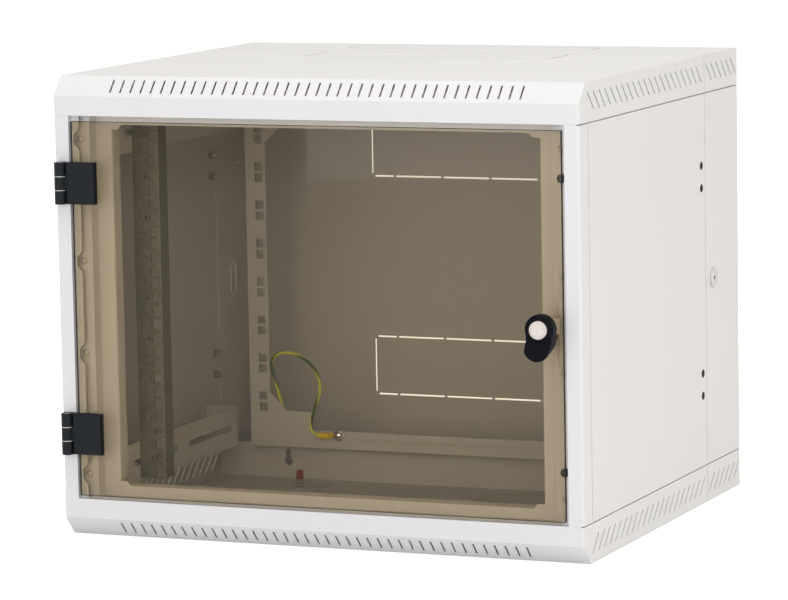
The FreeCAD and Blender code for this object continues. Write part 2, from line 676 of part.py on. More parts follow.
def frame_bolts():
    """Round-headed bolts through the frame's outer strips into the posts."""
    bolts = []
    for side in (-1, 1):
        for x, y, z in frame_bolt_places(side):
            shank = faceted(FRAME_BOLT_R, (x, y, z), (x, y + 2 * SHEET + FRAME_BOLT_BEYOND, z))
            head = bolt_head(FRAME_BOLT_HEAD_R, FRAME_BOLT_HEAD, (x, y, z), (0, -1, 0))
            bolts.append(fused([head, shank]))
    return Part.makeCompound(bolts)


def frame_nuts():
    nuts = []
    for side in (-1, 1):
        for x, y, z in frame_bolt_places(side):
            start = y + 2 * SHEET
            nut = hexagon(FRAME_NUT_FLATS, (x, start, z), (x, start + FRAME_NUT, z))
            nuts.append(nut.cut(faceted(FRAME_BOLT_R, (x, start, z), (x, start + FRAME_NUT, z))))
    return Part.makeCompound(nuts)


def depth_bracket():
    """Lower right bracket: a slotted plate held off the side wall by its two folded ends."""
    wall_x = HALF_W - SHEET
    y0, y1 = FRONT + BRACKET_IN, SEAM - BRACKET_FROM_SEAM
    low = -HALF_H + RACK_MARGIN - BRACKET_BELOW_RACK
    section = [(wall_x, y1 - BRACKET_FOOT), (wall_x, y1), (BRACKET_X, y1), (BRACKET_X, y0), (wall_x, y0),
               (wall_x, y0 + BRACKET_FOOT)]
    bracket = folded(section, SHEET, "z", low, low + BRACKET_HEIGHT)
    middle = (y0 + y1) / 2
    spans = [(y0 + SLOT_MARGIN, middle - SLOT_SPACING / 2), (middle + SLOT_SPACING / 2, y1 - SLOT_MARGIN)]
    slots = [slot_cutter(start, end, low + SLOT_ABOVE_EDGE) for start, end in spans]
    return bracket.cut(Part.makeCompound(slots))


def slot_cutter(start, end, z):
    """Round-ended slot through a bracket's plate."""
    radius = SLOT_HEIGHT / 2
    x = (BRACKET_X - SHEET, BRACKET_X + 2 * SHEET)
    ends = [rod(radius, (x[0], y, z), (x[1], y, z)) for y in (start + radius, end - radius)]
    return fused([box(x, (start + radius, end - radius), (z - radius, z + radius))] + ends)


def unit_lines():
    """Heights of the lines between rack units, first and last included."""
    return [(index - RACK_UNITS / 2) * RACK_PITCH for index in range(RACK_UNITS + 1)]


def square_hole(y, z):
    half = RACK_HOLE / 2
    return box((RACK_HOLE_X - half, RACK_HOLE_X + half), y, (z - half, z + half))


def front_rail():
    """Right front rack rail: punched web between two rearward legs."""
    y = FRONT + RAIL_IN
    reach = RACK_UNITS * RACK_PITCH / 2
    section = [(RAIL_OUTER_X, y + RAIL_OUTER_LEG), (RAIL_OUTER_X, y),
               (RAIL_INNER_X, y), (RAIL_INNER_X, y + RAIL_INNER_LEG)]
    rail = folded(section, -RAIL_SHEET, "z", -reach, reach)
    web = (y - RAIL_SHEET, y + 2 * RAIL_SHEET)
    cutters = []
    for line in unit_lines()[:-1]:
        middle = line + RACK_PITCH / 2
        cutters += [square_hole(web, middle + step * RACK_HOLE_STEP) for step in (-1, 0, 1)]
        mark = [(RAIL_MARK_HOLE_X, end, middle) for end in web]
        cutters.append(faceted(RAIL_MARK_HOLE_R, *mark))
    for x, bolt_y, z in rail_bolt_places():
        ends = [(x + side * 2 * RAIL_SHEET, bolt_y, z) for side in (-1, 1)]
        cutters.append(faceted(RAIL_BOLT_R, *ends))
    return rail.cut(Part.makeCompound(cutters))


def rail_bolt_places():
    """Right rail's bolts where they leave its outer leg."""
    z = -HALF_H + RACK_MARGIN - BRACKET_BELOW_RACK + SLOT_ABOVE_EDGE
    return [(RAIL_OUTER_X, FRONT + RAIL_BOLT_IN, side * z) for side in (-1, 1)]


def rail_fixings():
    """Bolts of the right rail, through the brackets' slots, with their nuts outside."""
    solids = []
    for x, y, z in rail_bolt_places():
        head_x = x - RAIL_SHEET
        nut_x = BRACKET_X + SHEET + SEAT
        shank = faceted(RAIL_BOLT_R, (head_x, y, z), (nut_x + RAIL_BOLT_BEYOND, y, z))
        head = bolt_head(RAIL_BOLT_HEAD_R, RAIL_BOLT_HEAD, (head_x, y, z), (-1, 0, 0))
        solids.append(fused([head, shank]))
        nut = hexagon(RAIL_NUT_FLATS, (nut_x, y, z), (nut_x + RAIL_NUT, y, z))
        solids.append(nut.cut(faceted(RAIL_BOLT_R, (nut_x, y, z), (nut_x + RAIL_NUT, y, z))))
    return Part.makeCompound(solids)


def rear_rail():
    """Right rear rack rail: punched web with corner plates, gussets and an outer leg."""
    y = REAR_RAIL_Y
    inner, outer = REAR_RAIL_X
    end = CANOPY_Z
    step = end - CORNER_PLATE_HEIGHT
    outline = [(outer, -end), (CORNER_PLATE_X, -end), (CORNER_PLATE_X, -step), (inner - GUSSET, -step),
               (inner, -step + GUSSET), (inner, step - GUSSET), (inner - GUSSET, step),
               (CORNER_PLATE_X, step), (CORNER_PLATE_X, end), (outer, end)]
    web = prism(outline, "y", y, y + SHEET)
    leg = box((outer - SHEET, outer), (y, MAIN_BACK), (-end, end))
    holes = [square_hole((y - SHEET, y + 2 * SHEET), line + side * REAR_HOLE_STEP)
             for line in unit_lines()[1:-1] for side in (-1, 1)]
    return fused([web, leg]).cut(Part.makeCompound(holes))


def rear_cross_bar():
    """Lower cross bar behind the corner plates: hemmed upright, and a shelf on the canopy's rear wall."""
    y = REAR_RAIL_Y + SHEET
    end = REAR_RAIL_X[1] - SHEET
    low = -CANOPY_Z
    top = low + CROSS_BAR_HEIGHT
    upright = box((-end, end), (y, y + SHEET), (low, top))
    shelf = box((-end, end), (y, MAIN_BACK), (low, low + SHEET))
    hem = box((-CORNER_PLATE_X, CORNER_PLATE_X), (y - SHEET, y), (top - CROSS_BAR_HEM, top))
    return fused([upright, shelf, hem])


def lower_cross_bar():
    """The lower bar also carries the screw of the earth lead."""
    y = REAR_RAIL_Y
    hole = faceted(LUG_SCREW_R, (LUG_RING_X, y - SHEET, LUG_Z), (LUG_RING_X, y + 4 * SHEET, LUG_Z))
    return rear_cross_bar().cut(hole)


def glass_panel():
    """Tempered glass door leaf with holes for its hinges and lock."""
    y = (FRONT - GLASS_PROUD, FRONT - GLASS_PROUD + GLASS)
    x_edge = HALF_W - POST_FACE - GLASS_GAP_X
    z = (-CANOPY_Z + GLASS_GAP_BOTTOM, CANOPY_Z - GLASS_GAP_TOP)
    panel = box((-x_edge, x_edge), y, z)
    corners = [edge for edge in panel.Edges if edge.BoundBox.YLength > GLASS - 0.01]
    panel = panel.makeFillet(GLASS_CORNER_R, corners)
    holes = [faceted(CLAMP_HOLE_R, (x, y[0] - 1, z), (x, y[1] + 1, z)) for x, z in clamp_places()]
    holes.append(rod(GLASS_LOCK_HOLE_R, (LOCK_X, y[0] - 1, 0), (LOCK_X, y[1] + 1, 0)))
    return panel.cut(Part.makeCompound(holes))


def leaf_span_x():
    """Low and high X of a door hinge's leaf."""
    start = -KNUCKLE_X + KNUCKLE_R + LEAF_GAP
    return start, start + LEAF_WIDTH


def clamp_places():
    """(x, z) of the two clamping bosses of each door hinge."""
    low, high = leaf_span_x()
    return [((low + high) / 2 + CLAMP_SHIFT, side * DOOR_HINGE_Z + step * CLAMP_PITCH / 2)
            for side in (-1, 1) for step in (-1, 1)]


def door_hinge_leaf(centre_z):
    """Moving half of a door hinge: middle knuckle, rounded leaf and the bosses that enter the glass."""
    glass_y = FRONT - GLASS_PROUD
    low_x, high_x = leaf_span_x()
    half = DOOR_HINGE_HEIGHT / 2
    leaf = box((low_x, high_x), (glass_y - LEAF_THICK, glass_y), (centre_z - half, centre_z + half))
    front_edges = [edge for edge in leaf.Edges if abs(edge.CenterOfMass.y - glass_y + LEAF_THICK) < 0.01]
    leaf = leaf.makeFillet(LEAF_ROUND, front_edges)
    knuckle_half = DOOR_HINGE_HEIGHT / 6 - WASHER_THICK / 2 - SEAT / 2
    axis_y = FRONT - KNUCKLE_OUT
    z = (centre_z - knuckle_half, centre_z + knuckle_half)
    knuckle = rod(KNUCKLE_R, (-KNUCKLE_X, axis_y, z[0]), (-KNUCKLE_X, axis_y, z[1]))
    web = box((-KNUCKLE_X, low_x + LEAF_ROUND), (axis_y - 1, glass_y - 1), z)
    bosses = [faceted(CLAMP_BOSS_R, (x, glass_y - 1, boss_z), (x, glass_y + GLASS, boss_z))
              for x, boss_z in clamp_places() if abs(boss_z - centre_z) < half]
    bore = rod(DOOR_PIN_R + PIN_CLEARANCE, (-KNUCKLE_X, axis_y, z[0] - 1), (-KNUCKLE_X, axis_y, z[1] + 1))
    return fused([leaf, knuckle, web] + bosses).cut(bore)


def door_hinge_base(centre_z):
    """Fixed half of a door hinge: plate on the post and the two outer knuckles."""
    half = DOOR_HINGE_HEIGHT / 2
    axis_y = FRONT - KNUCKLE_OUT
    plate_x = (-KNUCKLE_X - KNUCKLE_R, -KNUCKLE_X + KNUCKLE_R)
    pieces = [box(plate_x, (FRONT - BASE_PLATE, FRONT), (centre_z - half, centre_z + half))]
    inner = DOOR_HINGE_HEIGHT / 6 + WASHER_THICK / 2
    for side in (-1, 1):
        z = sorted((centre_z + side * inner, centre_z + side * half))
        pieces.append(rod(KNUCKLE_R, (-KNUCKLE_X, axis_y, z[0]), (-KNUCKLE_X, axis_y, z[1])))
        web_x = (plate_x[0] + BASE_INSET, plate_x[1] - BASE_INSET)
        pieces.append(box(web_x, (axis_y, FRONT - BASE_PLATE / 2), z))
    bore = rod(DOOR_PIN_R + PIN_CLEARANCE, (-KNUCKLE_X, axis_y, centre_z - half - 1),
               (-KNUCKLE_X, axis_y, centre_z + half + 1))
    return fused(pieces).cut(bore)


def door_hinge_pin(centre_z):
    half = DOOR_HINGE_HEIGHT / 2
    axis_y = FRONT - KNUCKLE_OUT
    return rod(DOOR_PIN_R, (-KNUCKLE_X, axis_y, centre_z - half), (-KNUCKLE_X, axis_y, centre_z + half))


def door_hinge_washers(centre_z):
    """Bright washers between the knuckles, seated on the fixed ones."""
    axis_y = FRONT - KNUCKLE_OUT
    washers = []
    for side in (-1, 1):
        middle = centre_z + side * DOOR_HINGE_HEIGHT / 6
        z = (middle - WASHER_THICK / 2, middle + WASHER_THICK / 2)
        ends = [(-KNUCKLE_X, axis_y, height) for height in z]
        washers.append(rod(KNUCKLE_R, *ends).cut(rod(DOOR_PIN_R + PIN_CLEARANCE, *ends)))
    return washers


def clamp_plate(centre_z):
    """Plate behind the glass that the hinge's screws pull on."""
    y = FRONT - GLASS_PROUD + GLASS
    half = DOOR_HINGE_HEIGHT / 2 - CLAMP_EDGE
    edge_x = -(HALF_W - POST_FACE - GLASS_GAP_X) + CLAMP_EDGE
    plate_x = (edge_x, leaf_span_x()[1] - CLAMP_EDGE)
    plate = box(plate_x, (y, y + CLAMP_PLATE), (centre_z - half, centre_z + half))
    holes = [faceted(CLAMP_SCREW_HOLE_R, (x, y - 1, z), (x, y + CLAMP_PLATE + 1, z))
             for x, z in clamp_places()]
    return plate.cut(Part.makeCompound(holes))


def clamp_screws():
    y = FRONT - GLASS_PROUD + GLASS
    screws = []
    for x, z in clamp_places():
        head = bolt_head(CLAMP_SCREW_HEAD_R, CLAMP_SCREW_HEAD, (x, y + CLAMP_PLATE, z), (0, 1, 0))
        screws.append(fused([head, faceted(CLAMP_SCREW_R, (x, y, z), (x, y + CLAMP_PLATE, z))]))
    return Part.makeCompound(screws)


def lock_housing():
    """Collar on the glass with the threaded sleeve that passes through it."""
    glass_y = FRONT - GLASS_PROUD
    collar = rod(COLLAR_R, (LOCK_X, glass_y - COLLAR_LENGTH, 0), (LOCK_X, glass_y, 0))
    sleeve = rod(SLEEVE_R, (LOCK_X, glass_y, 0), (LOCK_X, FRONT + CAM_IN - SEAT, 0))
    bore_start = (LOCK_X, glass_y - COLLAR_LENGTH - 1, 0)
    bore = rod(SHAFT_R + SHAFT_CLEARANCE, bore_start, (LOCK_X, FRONT + CAM_IN, 0))
    return fused([collar, sleeve]).cut(bore)


def lock_plate():
    """Zinc plate behind the glass."""
    width, height, thickness = LOCK_PLATE
    y = FRONT - GLASS_PROUD + GLASS
    plate = box((LOCK_X - width / 2, LOCK_X + width / 2), (y, y + thickness), (-height / 2, height / 2))
    return plate.cut(rod(SLEEVE_R, (LOCK_X, y - 1, 0), (LOCK_X, y + thickness + 1, 0)))


def lock_nut():
    start = FRONT - GLASS_PROUD + GLASS + LOCK_PLATE[2]
    end = FRONT + CAM_IN - 2 * SEAT
    nut = hexagon(LOCK_NUT_FLATS + 2, (LOCK_X, start, 0), (LOCK_X, end, 0))
    nut = nut.common(rod(LOCK_NUT_FLATS / math.sqrt(3), (LOCK_X, start, 0), (LOCK_X, end, 0)))
    return nut.cut(rod(SLEEVE_R, (LOCK_X, start, 0), (LOCK_X, end, 0)))


def knob_back():
    return FRONT - GLASS_PROUD - COLLAR_LENGTH - SEAT


def knob_front():
    return knob_back() - KNOB_LENGTH


def thumb_tab():
    """Tab that hangs from the knob and flares towards the hand, with a round end."""
    back, front, tip = knob_back(), knob_front(), FRONT - TAB_REACH
    lowest = -TAB_DROP - TAB_R - 1
    side = [(back, 0), (back, -TAB_ROOT), (FRONT - TAB_LIP[0], -TAB_LIP[1]), (tip + 2, lowest),
            (tip, lowest), (tip, -TAB_RAMP[1]), (front, -TAB_RAMP[0]), (front, 0)]
    tab = prism(side, "x", LOCK_X - TAB_R, LOCK_X + TAB_R)
    face = box((LOCK_X - TAB_R, LOCK_X + TAB_R), (tip - 1, back + 1), (-TAB_DROP, 0))
    face = face.fuse(rod(TAB_R, (LOCK_X, tip - 1, -TAB_DROP), (LOCK_X, back + 1, -TAB_DROP)))
    tab = tab.common(face).removeSplitter()
    rim = [edge for edge in tab.Edges if abs(edge.CenterOfMass.y - tip) < 0.01]
    return tab.makeFillet(TAB_ROUND, rim)


def door_knob():
    """Round knob with its thumb tab, on the shaft that turns the cam."""
    back, front = knob_back(), knob_front()
    disc = rod(KNOB_R, (LOCK_X, back, 0), (LOCK_X, front, 0))
    rims = [edge for edge in disc.Edges if edge.BoundBox.YLength < 0.01]
    disc = disc.makeFillet(KNOB_ROUND, rims)
    shaft = rod(SHAFT_R, (LOCK_X, back, 0), (LOCK_X, FRONT + CAM_IN, 0))
    recess = rod(KEY_R + SHAFT_CLEARANCE, (LOCK_X, FRONT - TAB_REACH, 0), (LOCK_X, front + KEY_RECESS, 0))
    return fused([disc, thumb_tab(), shaft]).cut(recess)


def door_cam():
    """Cam that turns behind the right post's flange; at rest it hangs clear of it."""
    y = (FRONT + CAM_IN, FRONT + CAM_IN + CAM_THICK)
    half = CAM_WIDTH / 2
    end_z = -CAM_REACH + half
    pieces = [rod(half, (LOCK_X, y[0], 0), (LOCK_X, y[1], 0)),
              box((LOCK_X - half, LOCK_X + half), y, (end_z, 0)),
              rod(half, (LOCK_X, y[0], end_z), (LOCK_X, y[1], end_z))]
    return fused(pieces)


def door_cam_screw():
    y = FRONT + CAM_IN + CAM_THICK
    return bolt_head(CAM_SCREW_R, CAM_SCREW_HEAD, (LOCK_X, y, 0), (0, 1, 0))


def key_cylinder():
    """Key cylinder in the knob, with its key slot upright."""
    front = knob_front() - KEY_PROUD
    core = rod(KEY_R, (LOCK_X, front, 0), (LOCK_X, knob_front() + KEY_RECESS - SEAT, 0))
    rim = [edge for edge in core.Edges if abs(edge.CenterOfMass.y - front) < 0.01]
    core = core.makeChamfer(KEY_CHAMFER, rim)
    width, height = KEY_SLOT
    slot_x = (LOCK_X - width / 2, LOCK_X + width / 2)
    slot = box(slot_x, (front - 1, front + KEY_SLOT_DEPTH), (-height / 2, height / 2))
    return core.cut(slot)


def body_hinge_leaf(centre_z, moving):
    """One leaf of the body hinge: the moving one has the middle knuckle, the fixed one the outer two."""
    half = BODY_HINGE_HEIGHT / 2
    axis_x = -HALF_W - BODY_HINGE_AXIS_OUT
    side = -1 if moving else 1
    clear = BODY_KNUCKLE_R + 2 * SEAT
    plate_x = (-HALF_W - BODY_LEAF, -HALF_W)
    plate_y = (SEAM + side * clear, SEAM + side * BODY_LEAF_WIDTH)
    plate = box(plate_x, plate_y, (centre_z - half, centre_z + half))
    third = BODY_HINGE_HEIGHT / 6
    if moving:
        spans = [(centre_z - third + SEAT / 2, centre_z + third - SEAT / 2)]
    else:
        spans = [(centre_z - half, centre_z - third - SEAT / 2),
                 (centre_z + third + SEAT / 2, centre_z + half)]
    pieces = [plate]
    for z in spans:
        pieces.append(rod(BODY_KNUCKLE_R, (axis_x, SEAM, z[0]), (axis_x, SEAM, z[1])))
        pieces.append(box((plate_x[0], -HALF_W - SEAT), (SEAM, SEAM + side * (clear + 1)), z))
    bore_ends = [(axis_x, SEAM, centre_z + end * (half + 1)) for end in (-1, 1)]
    bore = rod(BODY_PIN_R + PIN_CLEARANCE, *bore_ends)
    leaf = fused(pieces).cut(bore)
    if moving:
        holes = [faceted(HINGE_BOLT_R + HOLE_CLEARANCE, (plate_x[0] - 1, y, z), (plate_x[1] + 1, y, z))
                 for y, z in hinge_bolt_places()]
        leaf = leaf.cut(Part.makeCompound(holes))
    return leaf


def body_hinge_pin(centre_z):
    half = BODY_HINGE_HEIGHT / 2
    axis_x = -HALF_W - BODY_HINGE_AXIS_OUT
    return rod(BODY_PIN_R, (axis_x, SEAM, centre_z - half), (axis_x, SEAM, centre_z + half))


def body_hinge_fixings():
    """Bolts through the moving leaves and the left wall, with washers and nuts inside the cabinet."""
    solids = []
    for y, z in hinge_bolt_places():
        head_x = -HALF_W - BODY_LEAF
        inner_x = -HALF_W + SHEET
        washer_x = inner_x + HINGE_WASHER
        nut_x = washer_x + HINGE_NUT
        shank = faceted(HINGE_BOLT_R, (head_x, y, z), (inner_x + HINGE_BOLT_BEYOND, y, z))
        head = bolt_head(HINGE_BOLT_HEAD_R, HINGE_BOLT_HEAD, (head_x, y, z), (-1, 0, 0))
        solids.append(fused([head, shank]))
        washer = faceted(HINGE_WASHER_R, (inner_x, y, z), (washer_x, y, z), 12)
        nut = hexagon(HINGE_NUT_FLATS, (washer_x, y, z), (nut_x, y, z))
        bore = faceted(HINGE_BOLT_R, (inner_x, y, z), (nut_x, y, z))
        solids += [washer.cut(bore), nut.cut(bore)]
    return Part.makeCompound(solids)


def hole_plugs():
    """Caps in the spare hinge holes of the right wall."""
    plugs = []
    for y, z in hinge_bolt_places():
        cap = bolt_head(PLUG_R, PLUG_THICK, (HALF_W, y, z), (1, 0, 0))
        plugs.append(fused([cap, faceted(PLUG_STEM_R, (HALF_W - PLUG_STEM, y, z), (HALF_W, y, z))]))
    return Part.makeCompound(plugs)


def rear_lock_y():
    return SEAM + REAR_LOCK_FROM_SEAM


def rear_lock_barrel():
    """Chromed barrel in the right wall of the wall section."""
    y = rear_lock_y()
    outer = HALF_W + REAR_LOCK_FACE
    face = rod(REAR_LOCK_FACE_R, (HALF_W, y, 0), (outer, y, 0))
    rim = [edge for edge in face.Edges if abs(edge.CenterOfMass.x - outer) < 0.01]
    face = face.makeChamfer(REAR_LOCK_CHAMFER, rim)
    barrel = rod(REAR_LOCK_BARREL_R, (HALF_W - REAR_LOCK_BARREL, y, 0), (HALF_W, y, 0))
    bore = rod(REAR_LOCK_CORE_R + SHAFT_CLEARANCE, (HALF_W - REAR_LOCK_BARREL - 1, y, 0), (outer + 1, y, 0))
    return fused([face, barrel]).cut(bore)


def rear_lock_nut():
    y = rear_lock_y()
    x = (HALF_W - SHEET - REAR_LOCK_NUT, HALF_W - SHEET)
    nut = hexagon(2 * REAR_LOCK_FACE_R, (x[0], y, 0), (x[1], y, 0))
    return nut.cut(rod(REAR_LOCK_BARREL_R, (x[0] - 1, y, 0), (x[1] + 1, y, 0)))


def rear_lock_cylinder():
    y = rear_lock_y()
    outer = HALF_W + REAR_LOCK_FACE
    core = rod(REAR_LOCK_CORE_R, (HALF_W - REAR_LOCK_BARREL - SEAT, y, 0), (outer, y, 0))
    width, height = KEY_SLOT
    depth = (outer - REAR_KEY_SLOT_DEPTH, outer + 1)
    return core.cut(box(depth, (y - width / 2, y + width / 2), (-height / 2, height / 2)))


def rear_cam_x():
    outer = HALF_W - REAR_LOCK_BARREL - SEAT
    return outer - REAR_CAM_THICK, outer


def rear_lock_cam():
    """Hooked cam. At rest it points up inside the wall section; a quarter turn hooks it into the catch."""
    y = rear_lock_y()
    half = REAR_CAM_WIDTH / 2
    x = rear_cam_x()
    hub = rod(half + REAR_HUB_RIM, (x[0], y, 0), (x[1], y, 0))
    arm = box(x, (y - half, y + half), (0, REAR_CAM_REACH))
    tooth = box(x, (y - REAR_CAM_TOOTH_DROP, y), (REAR_CAM_REACH - REAR_CAM_TOOTH, REAR_CAM_REACH))
    return fused([hub, arm, tooth])


def rear_lock_screw():
    x = rear_cam_x()[0]
    return bolt_head(REAR_SCREW_R, REAR_SCREW_HEAD, (x, rear_lock_y(), 0), (-1, 0, 0))


def rear_catch():
    """Angle on the right wall of the main body with the window that the hooked cam enters."""
    wall_x = HALF_W - SHEET
    plate_y = (SEAM - CATCH_FROM_SEAM - SHEET, SEAM - CATCH_FROM_SEAM)
    z = (-CATCH_BELOW, CATCH_ABOVE)
    foot = box((wall_x - SHEET, wall_x), (plate_y[1] - CATCH_FOOT, plate_y[1]), z)
    plate = box((wall_x - CATCH_REACH, wall_x), plate_y, z)
    cam_x = rear_cam_x()
    window = box((cam_x[0] - CATCH_WINDOW_SIDE, cam_x[1] + CATCH_WINDOW_SIDE),
                 (plate_y[0] - 1, plate_y[1] + 1), (-CATCH_WINDOW_BELOW, CATCH_WINDOW_ABOVE))
    return fused([foot, plate]).cut(window)


def door_bumpers():
    """Soft stops on the right post's flange."""
    x = bumper_centre_x()
    y = FRONT + FLANGE_IN
    front = FRONT - GLASS_PROUD + GLASS + SEAT
    return Part.makeCompound([fused([rod(BUMPER_R, (x, front, z), (x, y, z)),
                                     faceted(BUMPER_STEM_R, (x, y, z), (x, y + BUMPER_STEM, z))])
                              for z in (-BUMPER_Z, BUMPER_Z)])


def earth_stud():
    """Earth stud welded to the floor, with its washer."""
    floor = -HALF_H + SHEET
    y = STUD_Y
    stud = faceted(STUD_R, (STUD_X, y, floor), (STUD_X, y, floor + STUD_LENGTH))
    washer = faceted(STUD_WASHER_R, (STUD_X, y, floor), (STUD_X, y, floor + STUD_WASHER), 16)
    return fused([stud, washer])


def earth_stud_nuts():
    """Two nuts, one above the other."""
    y = STUD_Y
    nuts = []
    for index in range(2):
        low = -HALF_H + SHEET + STUD_WASHER + index * STUD_NUT
        nut = hexagon(STUD_NUT_FLATS + index, (STUD_X, y, low), (STUD_X, y, low + STUD_NUT))
        nuts.append(nut.cut(faceted(STUD_R, (STUD_X, y, low), (STUD_X, y, low + STUD_NUT))))
    return Part.makeCompound(nuts)


def earth_stud_cap():
    """Red cap over the end of the stud."""
    y = STUD_Y
    low = -HALF_H + SHEET + STUD_WASHER + 2 * STUD_NUT
    cap = rod(STUD_CAP_R, (STUD_X, y, low), (STUD_X, y, low + STUD_CAP))
    rim = [edge for edge in cap.Edges if abs(edge.CenterOfMass.z - low - STUD_CAP) < 0.01]
    cap = cap.makeFillet(STUD_CAP_ROUND, rim)
    return cap.cut(faceted(STUD_R, (STUD_X, y, low - 1), (STUD_X, y, -HALF_H + SHEET + STUD_LENGTH)))


def earth_lug():
    """Crimped ring terminal on the cross bar, with its insulating sleeve."""
    bar_y = REAR_RAIL_Y
    low_x, high_x = LUG_SLEEVE_X
    axis_y = LEAD_ROUTE[0][1]
    ring = rod(LUG_RING_R, (LUG_RING_X, bar_y - LUG_SHEET, LUG_Z), (LUG_RING_X, bar_y, LUG_Z))
    z = (LUG_Z - LUG_TONGUE, LUG_Z + LUG_TONGUE)
    tongue = box((high_x - 1, LUG_RING_X), (bar_y - LUG_SHEET, bar_y), z)
    neck = box((high_x - 1, high_x + 1), (axis_y, bar_y), z)
    sleeve = rod(LUG_SLEEVE_R, (low_x, axis_y, LUG_Z), (high_x, axis_y, LUG_Z))
    hole = faceted(LUG_SCREW_R, (LUG_RING_X, bar_y - 2 * LUG_SHEET, LUG_Z), (LUG_RING_X, bar_y + 1, LUG_Z))
    return fused([ring, tongue, neck, sleeve]).cut(hole)


def earth_lug_screw():
    """Pan head screw with a toothed washer."""
    seat = REAR_RAIL_Y - LUG_SHEET
    front = seat - LUG_WASHER
    washer = faceted(LUG_RING_R - 0.3, (LUG_RING_X, front, LUG_Z), (LUG_RING_X, seat, LUG_Z))
    head = bolt_head(LUG_SCREW_HEAD_R, LUG_SCREW_HEAD, (LUG_RING_X, front, LUG_Z), (0, -1, 0))
    shank = faceted(LUG_SCREW_R, (LUG_RING_X, front, LUG_Z), (LUG_RING_X, seat + LUG_SCREW_BEYOND, LUG_Z))
    return fused([washer, head, shank])


def earth_far_lug():
    """Ring terminal at the hidden end of the lead, behind the cross bar."""
    bar_y = REAR_RAIL_Y + 2 * SHEET
    axis_y = bar_y + FAR_LUG_OUT
    low, high = FAR_LUG_SLEEVE_Z
    x = FAR_LUG_X
    ring = rod(LUG_RING_R, (x, bar_y, FAR_LUG_Z), (x, bar_y + LUG_SHEET, FAR_LUG_Z))
    tongue = box((x - LUG_TONGUE, x + LUG_TONGUE), (bar_y, bar_y + LUG_SHEET), (FAR_LUG_Z, low + 1))
    neck = box((x - LUG_TONGUE, x + LUG_TONGUE), (bar_y, axis_y), (low - 1, low + 1))
    sleeve = rod(LUG_SLEEVE_R, (x, axis_y, low), (x, axis_y, high))
    hole = faceted(LUG_SCREW_R, (x, bar_y - 1, FAR_LUG_Z), (x, bar_y + 2 * LUG_SHEET, FAR_LUG_Z))
    return fused([ring, tongue, neck, sleeve]).cut(hole)


def earth_far_stud():
    """Weld stud behind the cross bar with the nut that holds the far terminal."""
    bar_y = REAR_RAIL_Y + 2 * SHEET
    stud = faceted(LUG_SCREW_R, (FAR_LUG_X, bar_y, FAR_LUG_Z), (FAR_LUG_X, bar_y + FAR_STUD, FAR_LUG_Z))
    start = bar_y + LUG_SHEET
    ends = [(FAR_LUG_X, height, FAR_LUG_Z) for height in (start, start + FAR_NUT)]
    nut = hexagon(FAR_NUT_FLATS, *ends).cut(faceted(LUG_SCREW_R, *ends))
    return Part.makeCompound([stud, nut])


def tube(route, diameter):
    """Round cord along straight runs joined by tangent arcs."""
    points = [V(*point) for point in route]
    runs = [(b - a).Length for a, b in zip(points, points[1:])]
    edges, radii, start = [], [], points[0]
    for index in range(1, len(points) - 1):
        back = (points[index - 1] - points[index]).normalize()
        ahead = (points[index + 1] - points[index]).normalize()
        half_turn = (math.pi - back.getAngle(ahead)) / 2
        trim = 0.45 * min(runs[index - 1], runs[index])
        radii.append(trim / math.tan(half_turn))
        first, last = points[index] + back * trim, points[index] + ahead * trim
        inward = (back + ahead).normalize()
        centre = points[index] + inward * (radii[-1] / math.cos(half_turn))
        middle = centre - inward * radii[-1]
        edges += [Part.LineSegment(start, first).toShape(), Part.Arc(first, middle, last).toShape()]
        start = last
    edges.append(Part.LineSegment(start, points[-1]).toShape())
    path = Part.Wire(edges)
    section = Part.Wire([Part.makeCircle(diameter / 2, points[0], points[1] - points[0])])
    solid = path.makePipeShell([section], True, True)
    print("lead radii", [round(radius, 1) for radius in radii])
    print("lead length", round(path.Length, 1), "volume ratio",
          round(solid.Volume / (math.pi * diameter ** 2 / 4 * path.Length), 4))
    return solid


def compound(shapes):
    return Part.makeCompound(shapes)


def left_and_right(name, shape):
    """Two nodes: the right-hand shape and its mirror image."""
    return {name + "_left": mirror_x(shape), name + "_right": shape}


def body_hinge_leaves(moving):
    return Part.makeCompound([body_hinge_leaf(side * BODY_HINGE_Z, moving) for side in (-1, 1)])


def wall_section():
    nodes = {
        "rear_back_panel": back_panel(),
        "rear_side_left": wall_side(-1),
        "rear_side_right": wall_side(1),
        "rear_bottom_canopy": wall_canopy(),
        "rear_top_canopy": mirror_z(wall_canopy()),
        "body_hinge_wall_leaves": body_hinge_leaves(False),
        "body_hinge_pins": compound([body_hinge_pin(side * BODY_HINGE_Z) for side in (-1, 1)]),
        "rear_lock_barrel": rear_lock_barrel(),
        "rear_lock_nut": rear_lock_nut(),
        "rear_lock_cylinder": rear_lock_cylinder(),
        "rear_lock_cam": rear_lock_cam(),
        "rear_lock_screw": rear_lock_screw(),
    }
    return nodes


